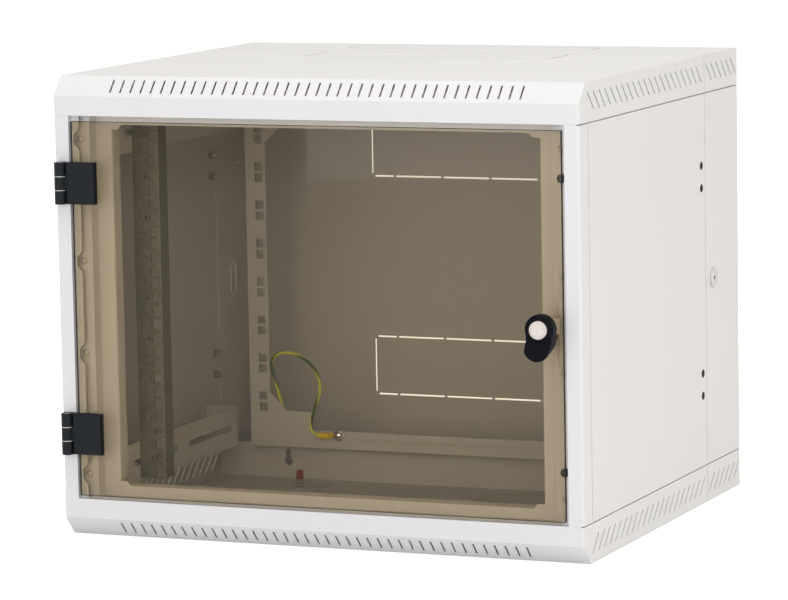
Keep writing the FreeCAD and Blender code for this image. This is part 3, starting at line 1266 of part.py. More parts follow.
def main_body():
    canopy = main_canopy()
    bracket = depth_bracket()
    nodes = {
        "bottom_canopy": canopy,
        "top_canopy": mirror_z(canopy),
        "front_post_left": front_post(-1),
        "front_post_right": front_post(1),
        "side_panel_left": side_panel(-1),
        "side_panel_right": side_panel(1),
        "inner_front_frame": inner_front_frame(),
        "frame_bolts": frame_bolts(),
        "frame_nuts": frame_nuts(),
        "rear_cross_bar_bottom": lower_cross_bar(),
        "rear_cross_bar_top": mirror_z(rear_cross_bar()),
        "body_hinge_leaves": body_hinge_leaves(True),
        "body_hinge_fixings": body_hinge_fixings(),
        "hole_plugs": hole_plugs(),
        "rear_catch": rear_catch(),
        "door_hinge_bases": compound([door_hinge_base(side * DOOR_HINGE_Z) for side in (-1, 1)]),
        "door_hinge_pins": compound([door_hinge_pin(side * DOOR_HINGE_Z) for side in (-1, 1)]),
        "door_hinge_washers": compound([washer for side in (-1, 1)
                                        for washer in door_hinge_washers(side * DOOR_HINGE_Z)]),
        "door_bumpers": door_bumpers(),
        "earth_stud": earth_stud(),
        "earth_stud_nuts": earth_stud_nuts(),
        "earth_stud_cap": earth_stud_cap(),
        "earth_lug": earth_lug(),
        "earth_lug_screw": earth_lug_screw(),
        "earth_lead": tube(LEAD_ROUTE, LEAD_DIAMETER),
        "earth_far_lug": earth_far_lug(),
        "earth_far_stud": earth_far_stud(),
    }
    nodes.update(left_and_right("rear_rail", rear_rail()))
    nodes.update(left_and_right("depth_bracket_bottom", bracket))
    nodes.update(left_and_right("depth_bracket_top", mirror_z(bracket)))
    nodes.update(left_and_right("front_rail", front_rail()))
    nodes.update(left_and_right("front_rail_fixings", rail_fixings()))
    return nodes


def door():
    return {
        "glass_panel": glass_panel(),
        "door_hinge_leaves": compound([door_hinge_leaf(side * DOOR_HINGE_Z) for side in (-1, 1)]),
        "hinge_clamp_plates": compound([clamp_plate(side * DOOR_HINGE_Z) for side in (-1, 1)]),
        "hinge_clamp_screws": clamp_screws(),
        "lock_housing": lock_housing(),
        "lock_plate": lock_plate(),
        "lock_nut": lock_nut(),
        "door_knob": door_knob(),
        "door_cam": door_cam(),
        "door_cam_screw": door_cam_screw(),
        "key_cylinder": key_cylinder(),
    }


def main():
    os.makedirs("parts", exist_ok=True)
    nodes = {**wall_section(), **main_body(), **door()}
    for name, shape in nodes.items():
        shape.exportStep("parts/" + name + ".step")
        solids = shape.Solids
        good = shape.isValid() and solids and all(solid.Volume > 0 for solid in solids)
        print(name, len(solids), round(sum(solid.Volume for solid in solids)), "" if good else "BAD")
    print(len(nodes), "nodes")


main()
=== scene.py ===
"""Dresses the wall mount network cabinet: finishes, fasteners, the earth lead, and the stage it stands on."""
import bmesh
import bpy
import math
from mathutils import Matrix, Vector


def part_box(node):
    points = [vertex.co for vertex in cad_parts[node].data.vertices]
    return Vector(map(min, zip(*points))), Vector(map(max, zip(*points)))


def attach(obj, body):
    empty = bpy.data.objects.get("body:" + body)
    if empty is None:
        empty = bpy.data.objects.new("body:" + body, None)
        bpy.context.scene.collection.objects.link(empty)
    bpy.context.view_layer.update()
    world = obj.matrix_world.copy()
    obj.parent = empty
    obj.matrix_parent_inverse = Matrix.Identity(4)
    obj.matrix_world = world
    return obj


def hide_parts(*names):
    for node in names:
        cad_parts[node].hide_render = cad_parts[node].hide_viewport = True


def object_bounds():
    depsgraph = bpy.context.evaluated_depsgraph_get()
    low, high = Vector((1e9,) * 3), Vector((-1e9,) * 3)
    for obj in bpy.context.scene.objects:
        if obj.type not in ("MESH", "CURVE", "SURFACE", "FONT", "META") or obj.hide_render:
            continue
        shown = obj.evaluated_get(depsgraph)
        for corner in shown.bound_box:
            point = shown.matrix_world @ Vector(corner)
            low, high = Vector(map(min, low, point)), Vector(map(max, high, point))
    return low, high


bl_info = {
    "name": "Wall mount network cabinet",
    "version": (1, 0, 0),
    "blender": (4, 5, 0),
    "location": "View3D > Sidebar > Cabinet",
    "description": "Finishes, fasteners and stage of a two-section wall mount network cabinet",
    "category": "Object",
}

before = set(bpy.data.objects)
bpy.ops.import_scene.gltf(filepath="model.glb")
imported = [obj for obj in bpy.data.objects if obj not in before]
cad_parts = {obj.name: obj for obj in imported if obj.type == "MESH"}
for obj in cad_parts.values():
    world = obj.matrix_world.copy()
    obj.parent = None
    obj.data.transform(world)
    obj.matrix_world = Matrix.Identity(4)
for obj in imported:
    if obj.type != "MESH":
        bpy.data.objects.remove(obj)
CAD_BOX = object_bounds()
MM = 0.001
WELD = 1e-6
FINE_WELD = 1e-7

# Route of the earth lead from the screw on the cross bar to the stud behind it
LEAD_ROUTE = [
    (-0.1610, -0.1432, -0.1920), (-0.1700, -0.1430, -0.1900), (-0.1720, -0.1422, -0.1775),
    (-0.1660, -0.1410, -0.1580), (-0.1585, -0.1400, -0.1375), (-0.1650, -0.1380, -0.1165),
    (-0.1840, -0.1350, -0.1015), (-0.2080, -0.1310, -0.0975), (-0.2255, -0.1280, -0.1045),
    (-0.2270, -0.1265, -0.1215), (-0.2180, -0.1265, -0.1470), (-0.2100, -0.1295, -0.1770),
]
LEAD_DIAMETER = 3.6 * MM

# Heights of the rivets in the wall section's walls, and how far they stand from its front edge
RIVET_HEIGHTS = (-130.8 * MM, 112.6 * MM)
RIVET_SETBACK = 63 * MM

# Where each lamp hangs, the side of its square, and which of the two lamp colours it has
LAMPS = {
    "front": ((-0.4, -4.2, 0.1), 2.4, "cool"),
    "front_right": ((1.6, -4.4, 1.2), 2.4, "cool"),
    "right": ((3.2, -1.2, 1.0), 2.2, "plain"),
    "right_low": ((3.4, -0.4, 0.1), 2.2, "plain"),
    "top": ((0.2, -0.8, 3.0), 2.6, "plain"),
    "left": ((-3.2, -1.4, 0.8), 2.2, "plain"),
}
LAMP_TARGET = (0.0, -0.25, 0.0)
FLOOR_REACH = 12.0
FLOOR_GAP = 0.5 * MM


# Settings -----------------------------------------------------------------------------------------

def colour_property(name, description, default):
    return bpy.props.FloatVectorProperty(name=name, description=description, default=default, size=3,
                                         min=0.0, max=1.0, subtype="COLOR")


def length_property(name, description, default):
    return bpy.props.FloatProperty(name=name, description=description, default=default, min=0.0,
                                   unit="LENGTH", precision=4)


def lamp_power(name, description, default):
    return bpy.props.FloatProperty(name=name, description=description, default=default, unit="POWER")


class CabinetFinishes(bpy.types.PropertyGroup):
    """Colours of the cabinet's materials."""
    paint: colour_property("Paint", "Light grey powder coat on all sheet metal", (0.60, 0.60, 0.60))
    glass: colour_property("Glass", "Light let through by the smoked door", (0.65, 0.583, 0.468))
    galvanised: colour_property("Galvanised", "Bare steel of the front rails", (0.225, 0.235, 0.205))
    zinc: colour_property("Zinc", "Plated screws, nuts and washers", (0.66, 0.66, 0.65))
    nickel: colour_property("Nickel", "Key cylinder of the door", (0.52, 0.48, 0.44))
    casting: colour_property("Casting", "Black door hinges", (0.0065, 0.0085, 0.0100))
    plastic: colour_property("Plastic", "Black knob and hole plugs", (0.0038, 0.0042, 0.0058))
    red: colour_property("Red", "Cap on the earth stud", (0.30, 0.035, 0.022))
    yellow: colour_property("Yellow", "Yellow stripe of the earth lead", (0.80, 0.85, 0.11))
    green: colour_property("Green", "Green stripe of the earth lead", (0.077, 0.16, 0.032))
    sleeve: colour_property("Sleeve", "Vinyl sleeve of the ring terminals", (0.93, 0.70, 0.030))


class CabinetSizes(bpy.types.PropertyGroup):
    """Sizes of what the scene adds to the solids."""
    edge: length_property("Edge radius", "Rounding that catches the light along painted edges", 0.7 * MM)
    peel: length_property("Paint texture", "Size of the orange peel in the powder coat", 1.3 * MM)
    spangle: length_property("Spangle", "Size of the crystals in the galvanising", 2.5 * MM)
    twist: length_property("Stripe twist", "Length of lead in which the stripe turns once", 60 * MM)
    rim: length_property("Glass rim", "Width of the dark line round the glass", 0.3 * MM)
    rivet: length_property("Rivet radius", "Heads of the rivets in the wall section", 2.6 * MM)


class CabinetStage(bpy.types.PropertyGroup):
    """Camera and light."""
    place: bpy.props.FloatVectorProperty(name="Camera place", description="Where the camera stands",
                                         default=(1.7802, -4.5219, 0.5919), size=3, subtype="TRANSLATION",
                                         unit="LENGTH")
    turn: bpy.props.FloatVectorProperty(name="Camera turn", description="Camera rotation, XYZ",
                                        default=tuple(math.radians(a) for a in (82.5261, 1.0503, 22.7082)),
                                        size=3, subtype="EULER", unit="ROTATION")
    lens: bpy.props.FloatProperty(name="Lens", description="Focal length on a 36 mm sensor", default=192.135,
                                  unit="CAMERA")
    fill: bpy.props.FloatProperty(name="Fill", description="Brightness of the room's own light", default=0.58)
    front: lamp_power("Front", "Low lamp before the door", 47.0)
    front_right: lamp_power("Front right", "Lamp behind the camera", 50.0)
    right: lamp_power("Right", "Lamp beside the right wall", 29.0)
    right_low: lamp_power("Right low", "Lamp near the floor at the right", 10.8)
    top: lamp_power("Top", "Lamp overhead", 59.5)
    left: lamp_power("Left", "Lamp beside the left wall", 14.0)
    floor: bpy.props.FloatProperty(name="Floor glow", description="Whitens the floor where it is seen",
                                   default=0.55)
    cool: colour_property("Cool light", "Colour of the lamps in front", (0.82, 0.85, 1.0))
    plain: colour_property("Plain light", "Colour of the other lamps", (0.98, 0.95, 0.96))
    room: colour_property("Room light", "Colour of the room's own light", (1.0, 0.961, 0.844))


class CabinetSettings(bpy.types.PropertyGroup):
    """All settings of the cabinet."""
    finishes: bpy.props.PointerProperty(type=CabinetFinishes)
    sizes: bpy.props.PointerProperty(type=CabinetSizes)
    stage: bpy.props.PointerProperty(type=CabinetStage)


def settings():
    return bpy.context.scene.cabinet


# Node trees ---------------------------------------------------------------------------------------

class Value:
    """One socket of a node tree; Python arithmetic on it adds Math nodes."""

    def __init__(self, nodes, socket):
        self.nodes = nodes
        self.socket = socket

    def math(self, operation, *others):
        return self.nodes.add("ShaderNodeMath", {"operation": operation}, self, *others)

    def __add__(self, other):
        return self.math("ADD", other)

    def __sub__(self, other):
        return self.math("SUBTRACT", other)

    def __rsub__(self, other):
        return self.nodes.add("ShaderNodeMath", {"operation": "SUBTRACT"}, other, self)

    def __mul__(self, other):
        return self.math("MULTIPLY", other)

    def __gt__(self, other):
        return self.math("GREATER_THAN", other)

    def __lt__(self, other):
        return self.math("LESS_THAN", other)

    def sine(self):
        return self.math("SINE")

    __radd__ = __add__
    __rmul__ = __mul__


class Nodes:
    """A node tree being wired. add() makes any node and returns its output as a Value."""

    def __init__(self, tree):
        self.tree = tree

    def add(self, kind, options, *values, output=0, **named):
        node = self.tree.nodes.new(kind)
        for option, value in options.items():
            setattr(node, option, value)
        for socket, value in zip(node.inputs, values):
            self.feed(socket, value)
        for socket, value in named.items():
            self.feed(node.inputs[socket.replace("_", " ").title()], value)
        return Value(self, node.outputs[output]) if node.outputs else None

    def feed(self, socket, value):
        if isinstance(value, Value):
            self.tree.links.new(value.socket, socket)
        elif isinstance(value, list) and value and isinstance(value[0], Value):
            for each in value:
                self.tree.links.new(each.socket, socket)
        elif socket.type == "RGBA" and len(value) == 3:
            socket.default_value = (*value, 1.0)
        else:
            socket.default_value = value

    def parts(self, vector):
        """The x, y and z of a vector."""
        first = self.add("ShaderNodeSeparateXYZ", {}, vector)
        return tuple(Value(self, socket) for socket in first.socket.node.outputs)

    def mix(self, factor, first, second):
        mixed = self.add("ShaderNodeMix", {"data_type": "RGBA"}, factor, output=2)
        for index, value in ((6, first), (7, second)):
            self.feed(mixed.socket.node.inputs[index], value)
        return mixed

    def seen(self):
        """1 where a ray looks at a thing, in a mirror or through glass too, and 0 for light."""
        rays = [self.add("ShaderNodeLightPath", {}, output=f"Is {ray} Ray")
                for ray in ("Camera", "Glossy", "Transmission")]
        return rays[0].math("MAXIMUM", rays[1]).math("MAXIMUM", rays[2])


# Materials ----------------------------------------------------------------------------------------

class Paint(Nodes):
    """A material being mixed."""

    def __init__(self, name, **plain):
        self.material = bpy.data.materials.new(name)
        self.material.use_nodes = True
        super().__init__(self.material.node_tree)
        self.shader = self.tree.nodes["Principled BSDF"]
        for socket, value in plain.items():
            self.set(socket.replace("_", " ").title().replace("Ior", "IOR"), value)

    def set(self, socket, value):
        self.feed(self.shader.inputs[socket], value)

    def place(self):
        return self.add("ShaderNodeTexCoord", {}, output="Object")

    def noise(self, size, detail):
        """Noise from 0 to 1 whose lumps are about that size."""
        return self.add("ShaderNodeTexNoise", {}, vector=self.place(), scale=1 / size, detail=detail)

    def range(self, value, low, high):
        return self.add("ShaderNodeMapRange", {}, value, 0.0, 1.0, low, high)

    def shades(self, colour, spread, factor):
        """The colour, a little darker where factor is 0 and a little lighter where it is 1."""
        dark, light = ([channel * share for channel in colour] for share in (1 - spread, 1 + spread))
        return self.mix(factor, dark, light)

    def bumps(self, height, depth, edge=0.0):
        """Surface relief, and rounded edges where edge is a radius."""
        sockets = {"strength": 1.0, "distance": depth, "height": height}
        if edge:
            sockets["normal"] = self.add("ShaderNodeBevel", {"samples": 6}, radius=edge)
        self.set("Normal", self.add("ShaderNodeBump", {}, **sockets))


def powder_coat():
    """Light grey powder coat with a faint orange peel and slight unevenness of tone."""
    colour, sizes = settings().finishes.paint, settings().sizes
    paint = Paint("powder_coat", specular_ior_level=0.18)
    paint.set("Base Color", paint.shades(colour, 0.012, paint.noise(120 * MM, 3)))
    paint.set("Roughness", paint.range(paint.noise(50 * MM, 3), 0.42, 0.52))
    paint.bumps(paint.noise(sizes.peel, 2), 0.01 * MM, sizes.edge)
    return paint.material


def smoked_glass():
    """Bronze tinted glass that lets lamp light through to what it covers."""
    tint = settings().finishes.glass
    paint = Paint("smoked_glass", transmission_weight=1.0, ior=1.2, roughness=0.0)
    paint.set("Base Color", tint)
    through = paint.add("ShaderNodeBsdfTransparent", {}, tint)
    is_shadow = paint.add("ShaderNodeLightPath", {}, output="Is Shadow Ray")
    principled = Value(paint, paint.shader.outputs[0])
    mixed = paint.add("ShaderNodeMixShader", {}, is_shadow, principled, through)
    paint.feed(paint.tree.nodes["Material Output"].inputs["Surface"], mixed)
    return paint.material


def galvanised_steel():
    """Bare zinc with its crystals."""
    colour, sizes = settings().finishes.galvanised, settings().sizes
    paint = Paint("galvanised_steel", metallic=0.55)
    crystal = paint.add("ShaderNodeTexVoronoi", {}, vector=paint.place(), scale=1 / sizes.spangle,
                        output="Color")
    grey = paint.add("ShaderNodeSeparateColor", {}, crystal)
    paint.set("Base Color", paint.shades(colour, 0.25, grey))
    paint.set("Roughness", paint.range(grey, 0.42, 0.62))
    paint.bumps(paint.noise(1.5 * MM, 3), 0.02 * MM)
    return paint.material


def plated_steel(name, colour, roughness, metallic=1.0):
    """Smooth plating with fine tool marks; less metallic where the plating is dulled by a clear film. A
    near-white colour with little metal is a painted sheen that stands in for a bright reflection.
    """
    paint = Paint(name, metallic=metallic)
    cloud = paint.noise(4 * MM, 3)
    paint.set("Base Color", paint.shades(colour, 0.08, cloud))
    paint.set("Roughness", paint.range(cloud, roughness * 0.8, roughness * 1.25))
    paint.bumps(paint.noise(0.6 * MM, 2), 0.02 * MM)
    return paint.material


def black_casting():
    """Black textured coat on the die cast hinges."""
    paint = Paint("black_die_cast", specular_ior_level=0.12)
    paint.set("Base Color", paint.shades(settings().finishes.casting, 0.2, paint.noise(20 * MM, 3)))
    paint.set("Roughness", paint.range(paint.noise(4 * MM, 2), 0.38, 0.50))
    paint.bumps(paint.noise(0.7 * MM, 2), 0.04 * MM, 0.6 * MM)
    return paint.material


def moulded(name, colour, roughness, specular=0.5):
    """Moulded plastic or rubber with a fine matt grain."""
    paint = Paint(name, specular_ior_level=specular)
    paint.set("Base Color", paint.shades(colour, 0.10, paint.noise(10 * MM, 3)))
    paint.set("Roughness", paint.range(paint.noise(3 * MM, 2), roughness * 0.85, roughness * 1.15))
    paint.bumps(paint.noise(0.5 * MM, 2), 0.02 * MM, 0.4 * MM)
    return paint.material


def striped_sheath():
    """Green and yellow insulation; u of the UV map runs once round the lead, v is metres along it."""
    finishes, sizes = settings().finishes, settings().sizes
    paint = Paint("green_yellow_sheath", roughness=0.38)
    uv = paint.add("ShaderNodeUVMap", {"uv_map": "along_lead"})
    around, along, _ = paint.parts(uv)
    turn = (around + along * (1 / sizes.twist)).math("FRACT")
    paint.set("Base Color", paint.mix(turn > 0.5, finishes.yellow, finishes.green))
    paint.bumps(paint.noise(2 * MM, 2), 0.02 * MM)
    return paint.material


FINISHES = {}


def finish(name):
    """The material of that name, mixed once."""
    if name not in FINISHES:
        colours = settings().finishes
        recipes = {
            "powder_coat": powder_coat,
            "smoked_glass": smoked_glass,
            "galvanised_steel": galvanised_steel,
            "zinc_plated_steel": lambda: plated_steel("zinc_plated_steel", colours.zinc, 0.24),
            # Painted sheen: a near-white colour with almost no metal stands in for the bright reflection of
            # the lock's plate.
            "bright_zinc": lambda: plated_steel("bright_zinc", (0.95, 0.95, 0.92), 0.40, metallic=0.1),
            "dulled_zinc": lambda: plated_steel("dulled_zinc", (0.52, 0.52, 0.50), 0.45, metallic=0.35),
            "chromed_metal": lambda: plated_steel("chromed_metal", (0.80, 0.80, 0.80), 0.12),
            "dulled_chrome": lambda: plated_steel("dulled_chrome", (0.50, 0.49, 0.47), 0.35, metallic=0.3),
            "satin_nickel": lambda: plated_steel("satin_nickel", colours.nickel, 0.50, metallic=0.3),
            "black_die_cast": black_casting,
            "black_plastic": lambda: moulded("black_plastic", colours.plastic, 0.30, 0.035),
            # Black rubber of the door bumpers, also used as the painted shade of the wall section's keyway.
            "black_rubber": lambda: moulded("black_rubber", (0.012, 0.012, 0.012), 0.65),
            "red_plastic": lambda: moulded("red_plastic", colours.red, 0.40),
            "yellow_vinyl": lambda: moulded("yellow_vinyl", colours.sleeve, 0.42),
            "green_yellow_sheath": striped_sheath,
            "glass_rim": lambda: moulded("glass_rim", (0.016, 0.018, 0.020), 0.35, 0.2),
        }
        FINISHES[name] = recipes[name]()
    return FINISHES[name]


def coat(node, name):
    """Gives a CAD node one finish all over."""
    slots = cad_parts[node].data.materials
    slots.clear()
    slots.append(finish(name))


NODE_FINISHES = {
    "galvanised_steel": ["front_rail_left", "front_rail_right"],
    "zinc_plated_steel": ["frame_bolts", "frame_nuts", "front_rail_fixings_left", "front_rail_fixings_right",
                          "body_hinge_fixings", "body_hinge_pins", "door_hinge_pins",
                          "hinge_clamp_plates", "hinge_clamp_screws", "lock_plate", "lock_nut", "door_cam",
                          "door_cam_screw", "rear_lock_cam", "rear_lock_screw", "rear_lock_nut", "earth_stud",
                          "earth_stud_nuts", "earth_lug_screw", "earth_far_stud", "rear_catch"],
    "dulled_zinc": ["door_hinge_washers"],
    "dulled_chrome": ["rear_lock_barrel", "rear_lock_cylinder"],
    "satin_nickel": ["key_cylinder"],
    "black_die_cast": ["door_hinge_leaves", "door_hinge_bases"],
    "black_plastic": ["door_knob", "lock_housing", "hole_plugs"],
    "black_rubber": ["door_bumpers"],
    "red_plastic": ["earth_stud_cap"],
    "smoked_glass": ["glass_panel"],
}


# Mesh helpers -------------------------------------------------------------------------------------

def piece(name, mesh, finishes, body, sharp=35.0):
    """A new object from a bmesh, with its finishes, riding on a body; edges above the angle stay sharp."""
    bmesh.ops.recalc_face_normals(mesh, faces=mesh.faces)
    for edge in mesh.edges:
        edge.smooth = len(edge.link_faces) == 2 and edge.calc_face_angle() < math.radians(sharp)
    data = bpy.data.meshes.new(name)
    mesh.to_mesh(data)
    mesh.free()
    for face in data.polygons:
        face.use_smooth = True
    for item in finishes:
        data.materials.append(finish(item))
    made = bpy.data.objects.new(name, data)
    bpy.context.scene.collection.objects.link(made)
    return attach(made, body)


def solids_of(node):
    """Lowest and highest corner of each separate solid of a CAD node, from the lowest solid up."""
    copy = bmesh.new()
    copy.from_mesh(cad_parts[node].data)
    bmesh.ops.remove_doubles(copy, verts=copy.verts, dist=WELD)
    waiting, boxes = set(copy.verts), []
    while waiting:
        found, edge = set(), [waiting.pop()]
        while edge:
            vertex = edge.pop()
            found.add(vertex)
            near = {link.other_vert(vertex) for link in vertex.link_edges} & waiting
            waiting -= near
            edge += near
        corners = [[rule(vertex.co[axis] for vertex in found) for axis in range(3)] for rule in (min, max)]
        boxes.append(tuple(Vector(corner) for corner in corners))
    copy.free()
    return sorted(boxes, key=lambda box: tuple(round(value, 5) for value in (box[0].z, box[0].y, box[0].x)))


def bolts_of(node, least=10 * MM):
    """Boxes of a node's solids that are long enough across the cabinet to be bolts, not nuts."""
    return [box for box in solids_of(node) if box[1].x - box[0].x > least]


class Growth(Nodes):
    """A Geometry Nodes tree that puts one shape at many places, with sizes as its named inputs."""

    def __init__(self, name):
        tree = bpy.data.node_groups.new(name, "GeometryNodeTree")
        tree.is_modifier = True
        for way in ("INPUT", "OUTPUT"):
            tree.interface.new_socket(name="Geometry", in_out=way, socket_type="NodeSocketGeometry")
        super().__init__(tree)
        self.inlet = self.add("NodeGroupInput", {}).socket.node
        self.sizes = {}

    def size(self, name, value):
        item = self.tree.interface.new_socket(name=name, in_out="INPUT", socket_type="NodeSocketFloat")
        item.default_value = value
        self.sizes[item.identifier] = value
        return Value(self, self.inlet.outputs[name])

    def vector(self, x, y, z):
        return self.add("ShaderNodeCombineXYZ", {}, x, y, z)

    def moved(self, geometry, z, turn=0.0):
        return self.add("GeometryNodeTransform", {}, geometry=geometry, translation=self.vector(0.0, 0.0, z),
                        rotation=(turn, 0.0, 0.0))

    def join(self, shapes):
        return self.add("GeometryNodeJoinGeometry", {}, shapes[::-1])

    def reshaped(self, geometry, rule):
        """Moves every point by a rule from its x, y and z to new ones."""
        place = self.parts(self.add("GeometryNodeInputPosition", {}))
        return self.add("GeometryNodeSetPosition", {}, geometry=geometry, position=self.vector(*rule(*place)))

    def disc(self, radius, start, height, sides=32, rings=1):
        solid = self.add("GeometryNodeMeshCylinder", {}, vertices=sides, side_segments=rings, radius=radius,
                         depth=height)
        return self.moved(solid, start + height * 0.5)

    def dome(self, radius, start, height, recess=False):
        """Low round head with a flat seat and, if asked for, a cross recess."""
        ball = self.add("GeometryNodeMeshUVSphere", {}, segments=32, rings=16, radius=1.0)
        cut = {"operation": "DIFFERENCE", "solver": "EXACT"}
        for size in ((1.1, 0.2, 0.7), (0.2, 1.1, 0.72)) if recess else ():
            arm = self.moved(self.add("GeometryNodeMeshCube", {}, size=size), 1.0)
            ball = self.add("GeometryNodeMeshBoolean", cut, ball, arm)
        head = self.reshaped(ball, lambda x, y, z: (x * radius, y * radius, z.math("MAXIMUM", 0.0) * height))
        return self.moved(head, start)

    def cross_dome(self, radius, start, height):
        return self.dome(radius, start, height, recess=True)

    def nut(self, radius, start, height):
        """Hexagonal nut, narrower in its first and last ring."""
        rings, narrowing = 7, 0.14
        solid = self.disc(1.0, 0.0, 1.0, 6, rings)

        def cut(x, y, z):
            inside = (z.math("MINIMUM", 1.0 - z) * rings).math("MINIMUM", 1.0)
            share = radius * (inside * narrowing + (1.0 - narrowing))
            return x * share, y * share, start + z * height
        return self.reshaped(solid, cut)

    def thread(self, radius, start, height, turns=12, depth=0.06):
        """Threaded shank, its thread as rings; depth is a share of the radius."""
        shank = self.disc(1.0, 0.0, 1.0, 16, turns * 4)

        def cut(x, y, z):
            share = radius * ((z * (2 * math.pi * turns)).sine() * depth + (1.0 - depth))
            return x * share, y * share, start + z * height
        return self.reshaped(shank, cut)

    def toothed(self, radius, start, height, teeth=12.0, depth=0.09):
        """Lock washer with a toothed rim; depth is a share of the radius."""
        disc = self.disc(1.0, 0.0, 1.0, 48)

        def cut(x, y, z):
            share = radius * ((y.math("ARCTAN2", x) * teeth).sine() * depth + (1.0 - depth))
            return x * share, y * share, start + z * height
        return self.reshaped(disc, cut)


def grown(name, parts, places, direction, item, body):
    """One mesh of like fasteners. A part is (kind, label, radius, start, height), in mm along direction."""
    growth = Growth(name)
    shapes = []
    for kind, label, *values in parts:
        sizes = [growth.size(f"{label} {what}", value * MM)
                 for what, value in zip(("radius", "start", "height"), values)]
        shapes.append(getattr(growth, kind)(*sizes))
    turn = Vector(direction).to_track_quat("Z", "Y").to_euler()
    spread = growth.add("GeometryNodeInstanceOnPoints", {}, instance=growth.join(shapes),
                        rotation=tuple(turn), points=Value(growth, growth.inlet.outputs["Geometry"]))
    whole = growth.add("GeometryNodeRealizeInstances", {}, spread)
    whole = growth.add("GeometryNodeSetMaterial", {}, geometry=whole, material=finish(item))
    growth.add("NodeGroupOutput", {}, whole)

    seeds = bpy.data.meshes.new(name + "_places")
    seeds.from_pydata([tuple(place) for place in places], [], [])
    holder = bpy.data.objects.new(name + "_places", seeds)
    bpy.context.scene.collection.objects.link(holder)
    modifier = holder.modifiers.new("fasteners", "NODES")
    modifier.node_group = growth.tree
    for identifier, value in growth.sizes.items():
        modifier[identifier] = value
    graph = bpy.context.evaluated_depsgraph_get()
    data = bpy.data.meshes.new_from_object(holder.evaluated_get(graph), depsgraph=graph)
    bpy.data.objects.remove(holder)
    mesh = bmesh.new()
    mesh.from_mesh(data)
    bpy.data.meshes.remove(data)
    bmesh.ops.remove_doubles(mesh, verts=mesh.verts, dist=FINE_WELD)
    return piece(name, mesh, [item], body)


def lathed(profile, centre, direction, sides=56):
    """Closed round solid from (radius, height) pairs in mm, along a direction from its centre."""
    mesh = bmesh.new()
    rings = []
    turns = [2 * math.pi * step / sides for step in range(sides)]
    for radius, height in profile:
        places = [(radius * MM * math.cos(turn), radius * MM * math.sin(turn), height * MM) for turn in turns]
        rings.append([mesh.verts.new(place) for place in places])
    for lower, upper in zip(rings, rings[1:]):
        for step in range(sides):
            after = (step + 1) % sides
            mesh.faces.new((lower[step], lower[after], upper[after], upper[step]))
    mesh.faces.new(rings[0])
    mesh.faces.new(rings[-1])
    turn = Vector(direction).to_track_quat("Z", "Y").to_matrix().to_4x4()
    bmesh.ops.transform(mesh, matrix=Matrix.Translation(centre) @ turn, verts=mesh.verts)
    return mesh


def copy_of(node, shift=(0.0, 0.0, 0.0)):
    """Merged copy of a CAD node's mesh, moved by shift."""
    mesh = bmesh.new()
    mesh.from_mesh(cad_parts[node].data)
    bmesh.ops.remove_doubles(mesh, verts=mesh.verts, dist=WELD)
    bmesh.ops.translate(mesh, verts=mesh.verts, vec=shift)
    return mesh


def bar(size, centre):
    """Straight bar of a size in mm round its centre."""
    mesh = bmesh.new()
    bmesh.ops.create_cube(mesh, size=1.0)
    bmesh.ops.scale(mesh, vec=[side * MM for side in size], verts=mesh.verts)
    bmesh.ops.translate(mesh, vec=centre, verts=mesh.verts)
    return mesh


def spline_points(route, resolution=14):
    """Points along a NURBS spline that has the route as its control points."""
    curve = bpy.data.curves.new("route", "CURVE")
    curve.dimensions = "3D"
    curve.resolution_u = resolution
    spline = curve.splines.new("NURBS")
    spline.points.add(len(route) - 1)
    for point, place in zip(spline.points, route):
        point.co = (*place, 1.0)
    spline.order_u = 3
    spline.use_endpoint_u = True
    guide = bpy.data.objects.new("route", curve)
    bpy.context.scene.collection.objects.link(guide)
    bpy.context.view_layer.update()
    evaluated = guide.evaluated_get(bpy.context.evaluated_depsgraph_get())
    mesh = bpy.data.meshes.new_from_object(evaluated)
    points = [vertex.co.copy() for vertex in mesh.vertices]
    bpy.data.objects.remove(guide)
    bpy.data.meshes.remove(mesh)
    return points


def tube_mesh(points, radius, sides=18):
    """Closed round tube along the points, with a UV map of turn and length."""
    mesh = bmesh.new()
    uv = mesh.loops.layers.uv.new("along_lead")
    tangents = [(points[min(i + 1, len(points) - 1)] - points[max(i - 1, 0)]).normalized()
                for i in range(len(points))]
    side = tangents[0].orthogonal().normalized()
    rings, lengths, run = [], [], 0.0
    for index, (point, tangent) in enumerate(zip(points, tangents)):
        side = (side - tangent * side.dot(tangent)).normalized()
        across = tangent.cross(side)
        turns = [2 * math.pi * step / sides for step in range(sides)]
        rings.append([mesh.verts.new(point + (side * math.cos(turn) + across * math.sin(turn)) * radius)
                      for turn in turns])
        run += (point - points[index - 1]).length if index else 0.0
        lengths.append(run)
    for index in range(len(rings) - 1):
        for step in range(sides):
            after = (step + 1) % sides
            corners = [(rings[index][step], step, index),
                       (rings[index][after], step + 1, index),
                       (rings[index + 1][after], step + 1, index + 1),
                       (rings[index + 1][step], step, index + 1)]
            face = mesh.faces.new([corner[0] for corner in corners])
            for loop, (_, turn, ring) in zip(face.loops, corners):
                loop[uv].uv = (turn / sides, lengths[ring])
    mesh.faces.new(rings[0])
    mesh.faces.new(rings[-1])
    return mesh, lengths[-1]


# Pieces -------------------------------------------------------------------------------------------

class CABINET_OT_finishes(bpy.types.Operator):
    """Give every solid of the cabinet its finish"""
    bl_idname = "cabinet.finishes"
    bl_label = "Finishes"

    def execute(self, context):
        special = {node: name for name, nodes in NODE_FINISHES.items() for node in nodes}
        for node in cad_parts:
            coat(node, special.get(node, "powder_coat"))
        return {"FINISHED"}


def sleeved_ring(node, ring, reach=7.5 * MM):
    """Copy of a ring terminal's solid, in yellow vinyl beyond the reach of its bare ring."""
    mesh = copy_of(node)
    for face in mesh.faces:
        away = face.calc_center_median() - Vector(ring)
        away.y = 0.0
        face.material_index = int(away.length > reach)
    made = piece(node + "_terminal", mesh, ["zinc_plated_steel", "yellow_vinyl"], "main_body")
    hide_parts(node)
    return made


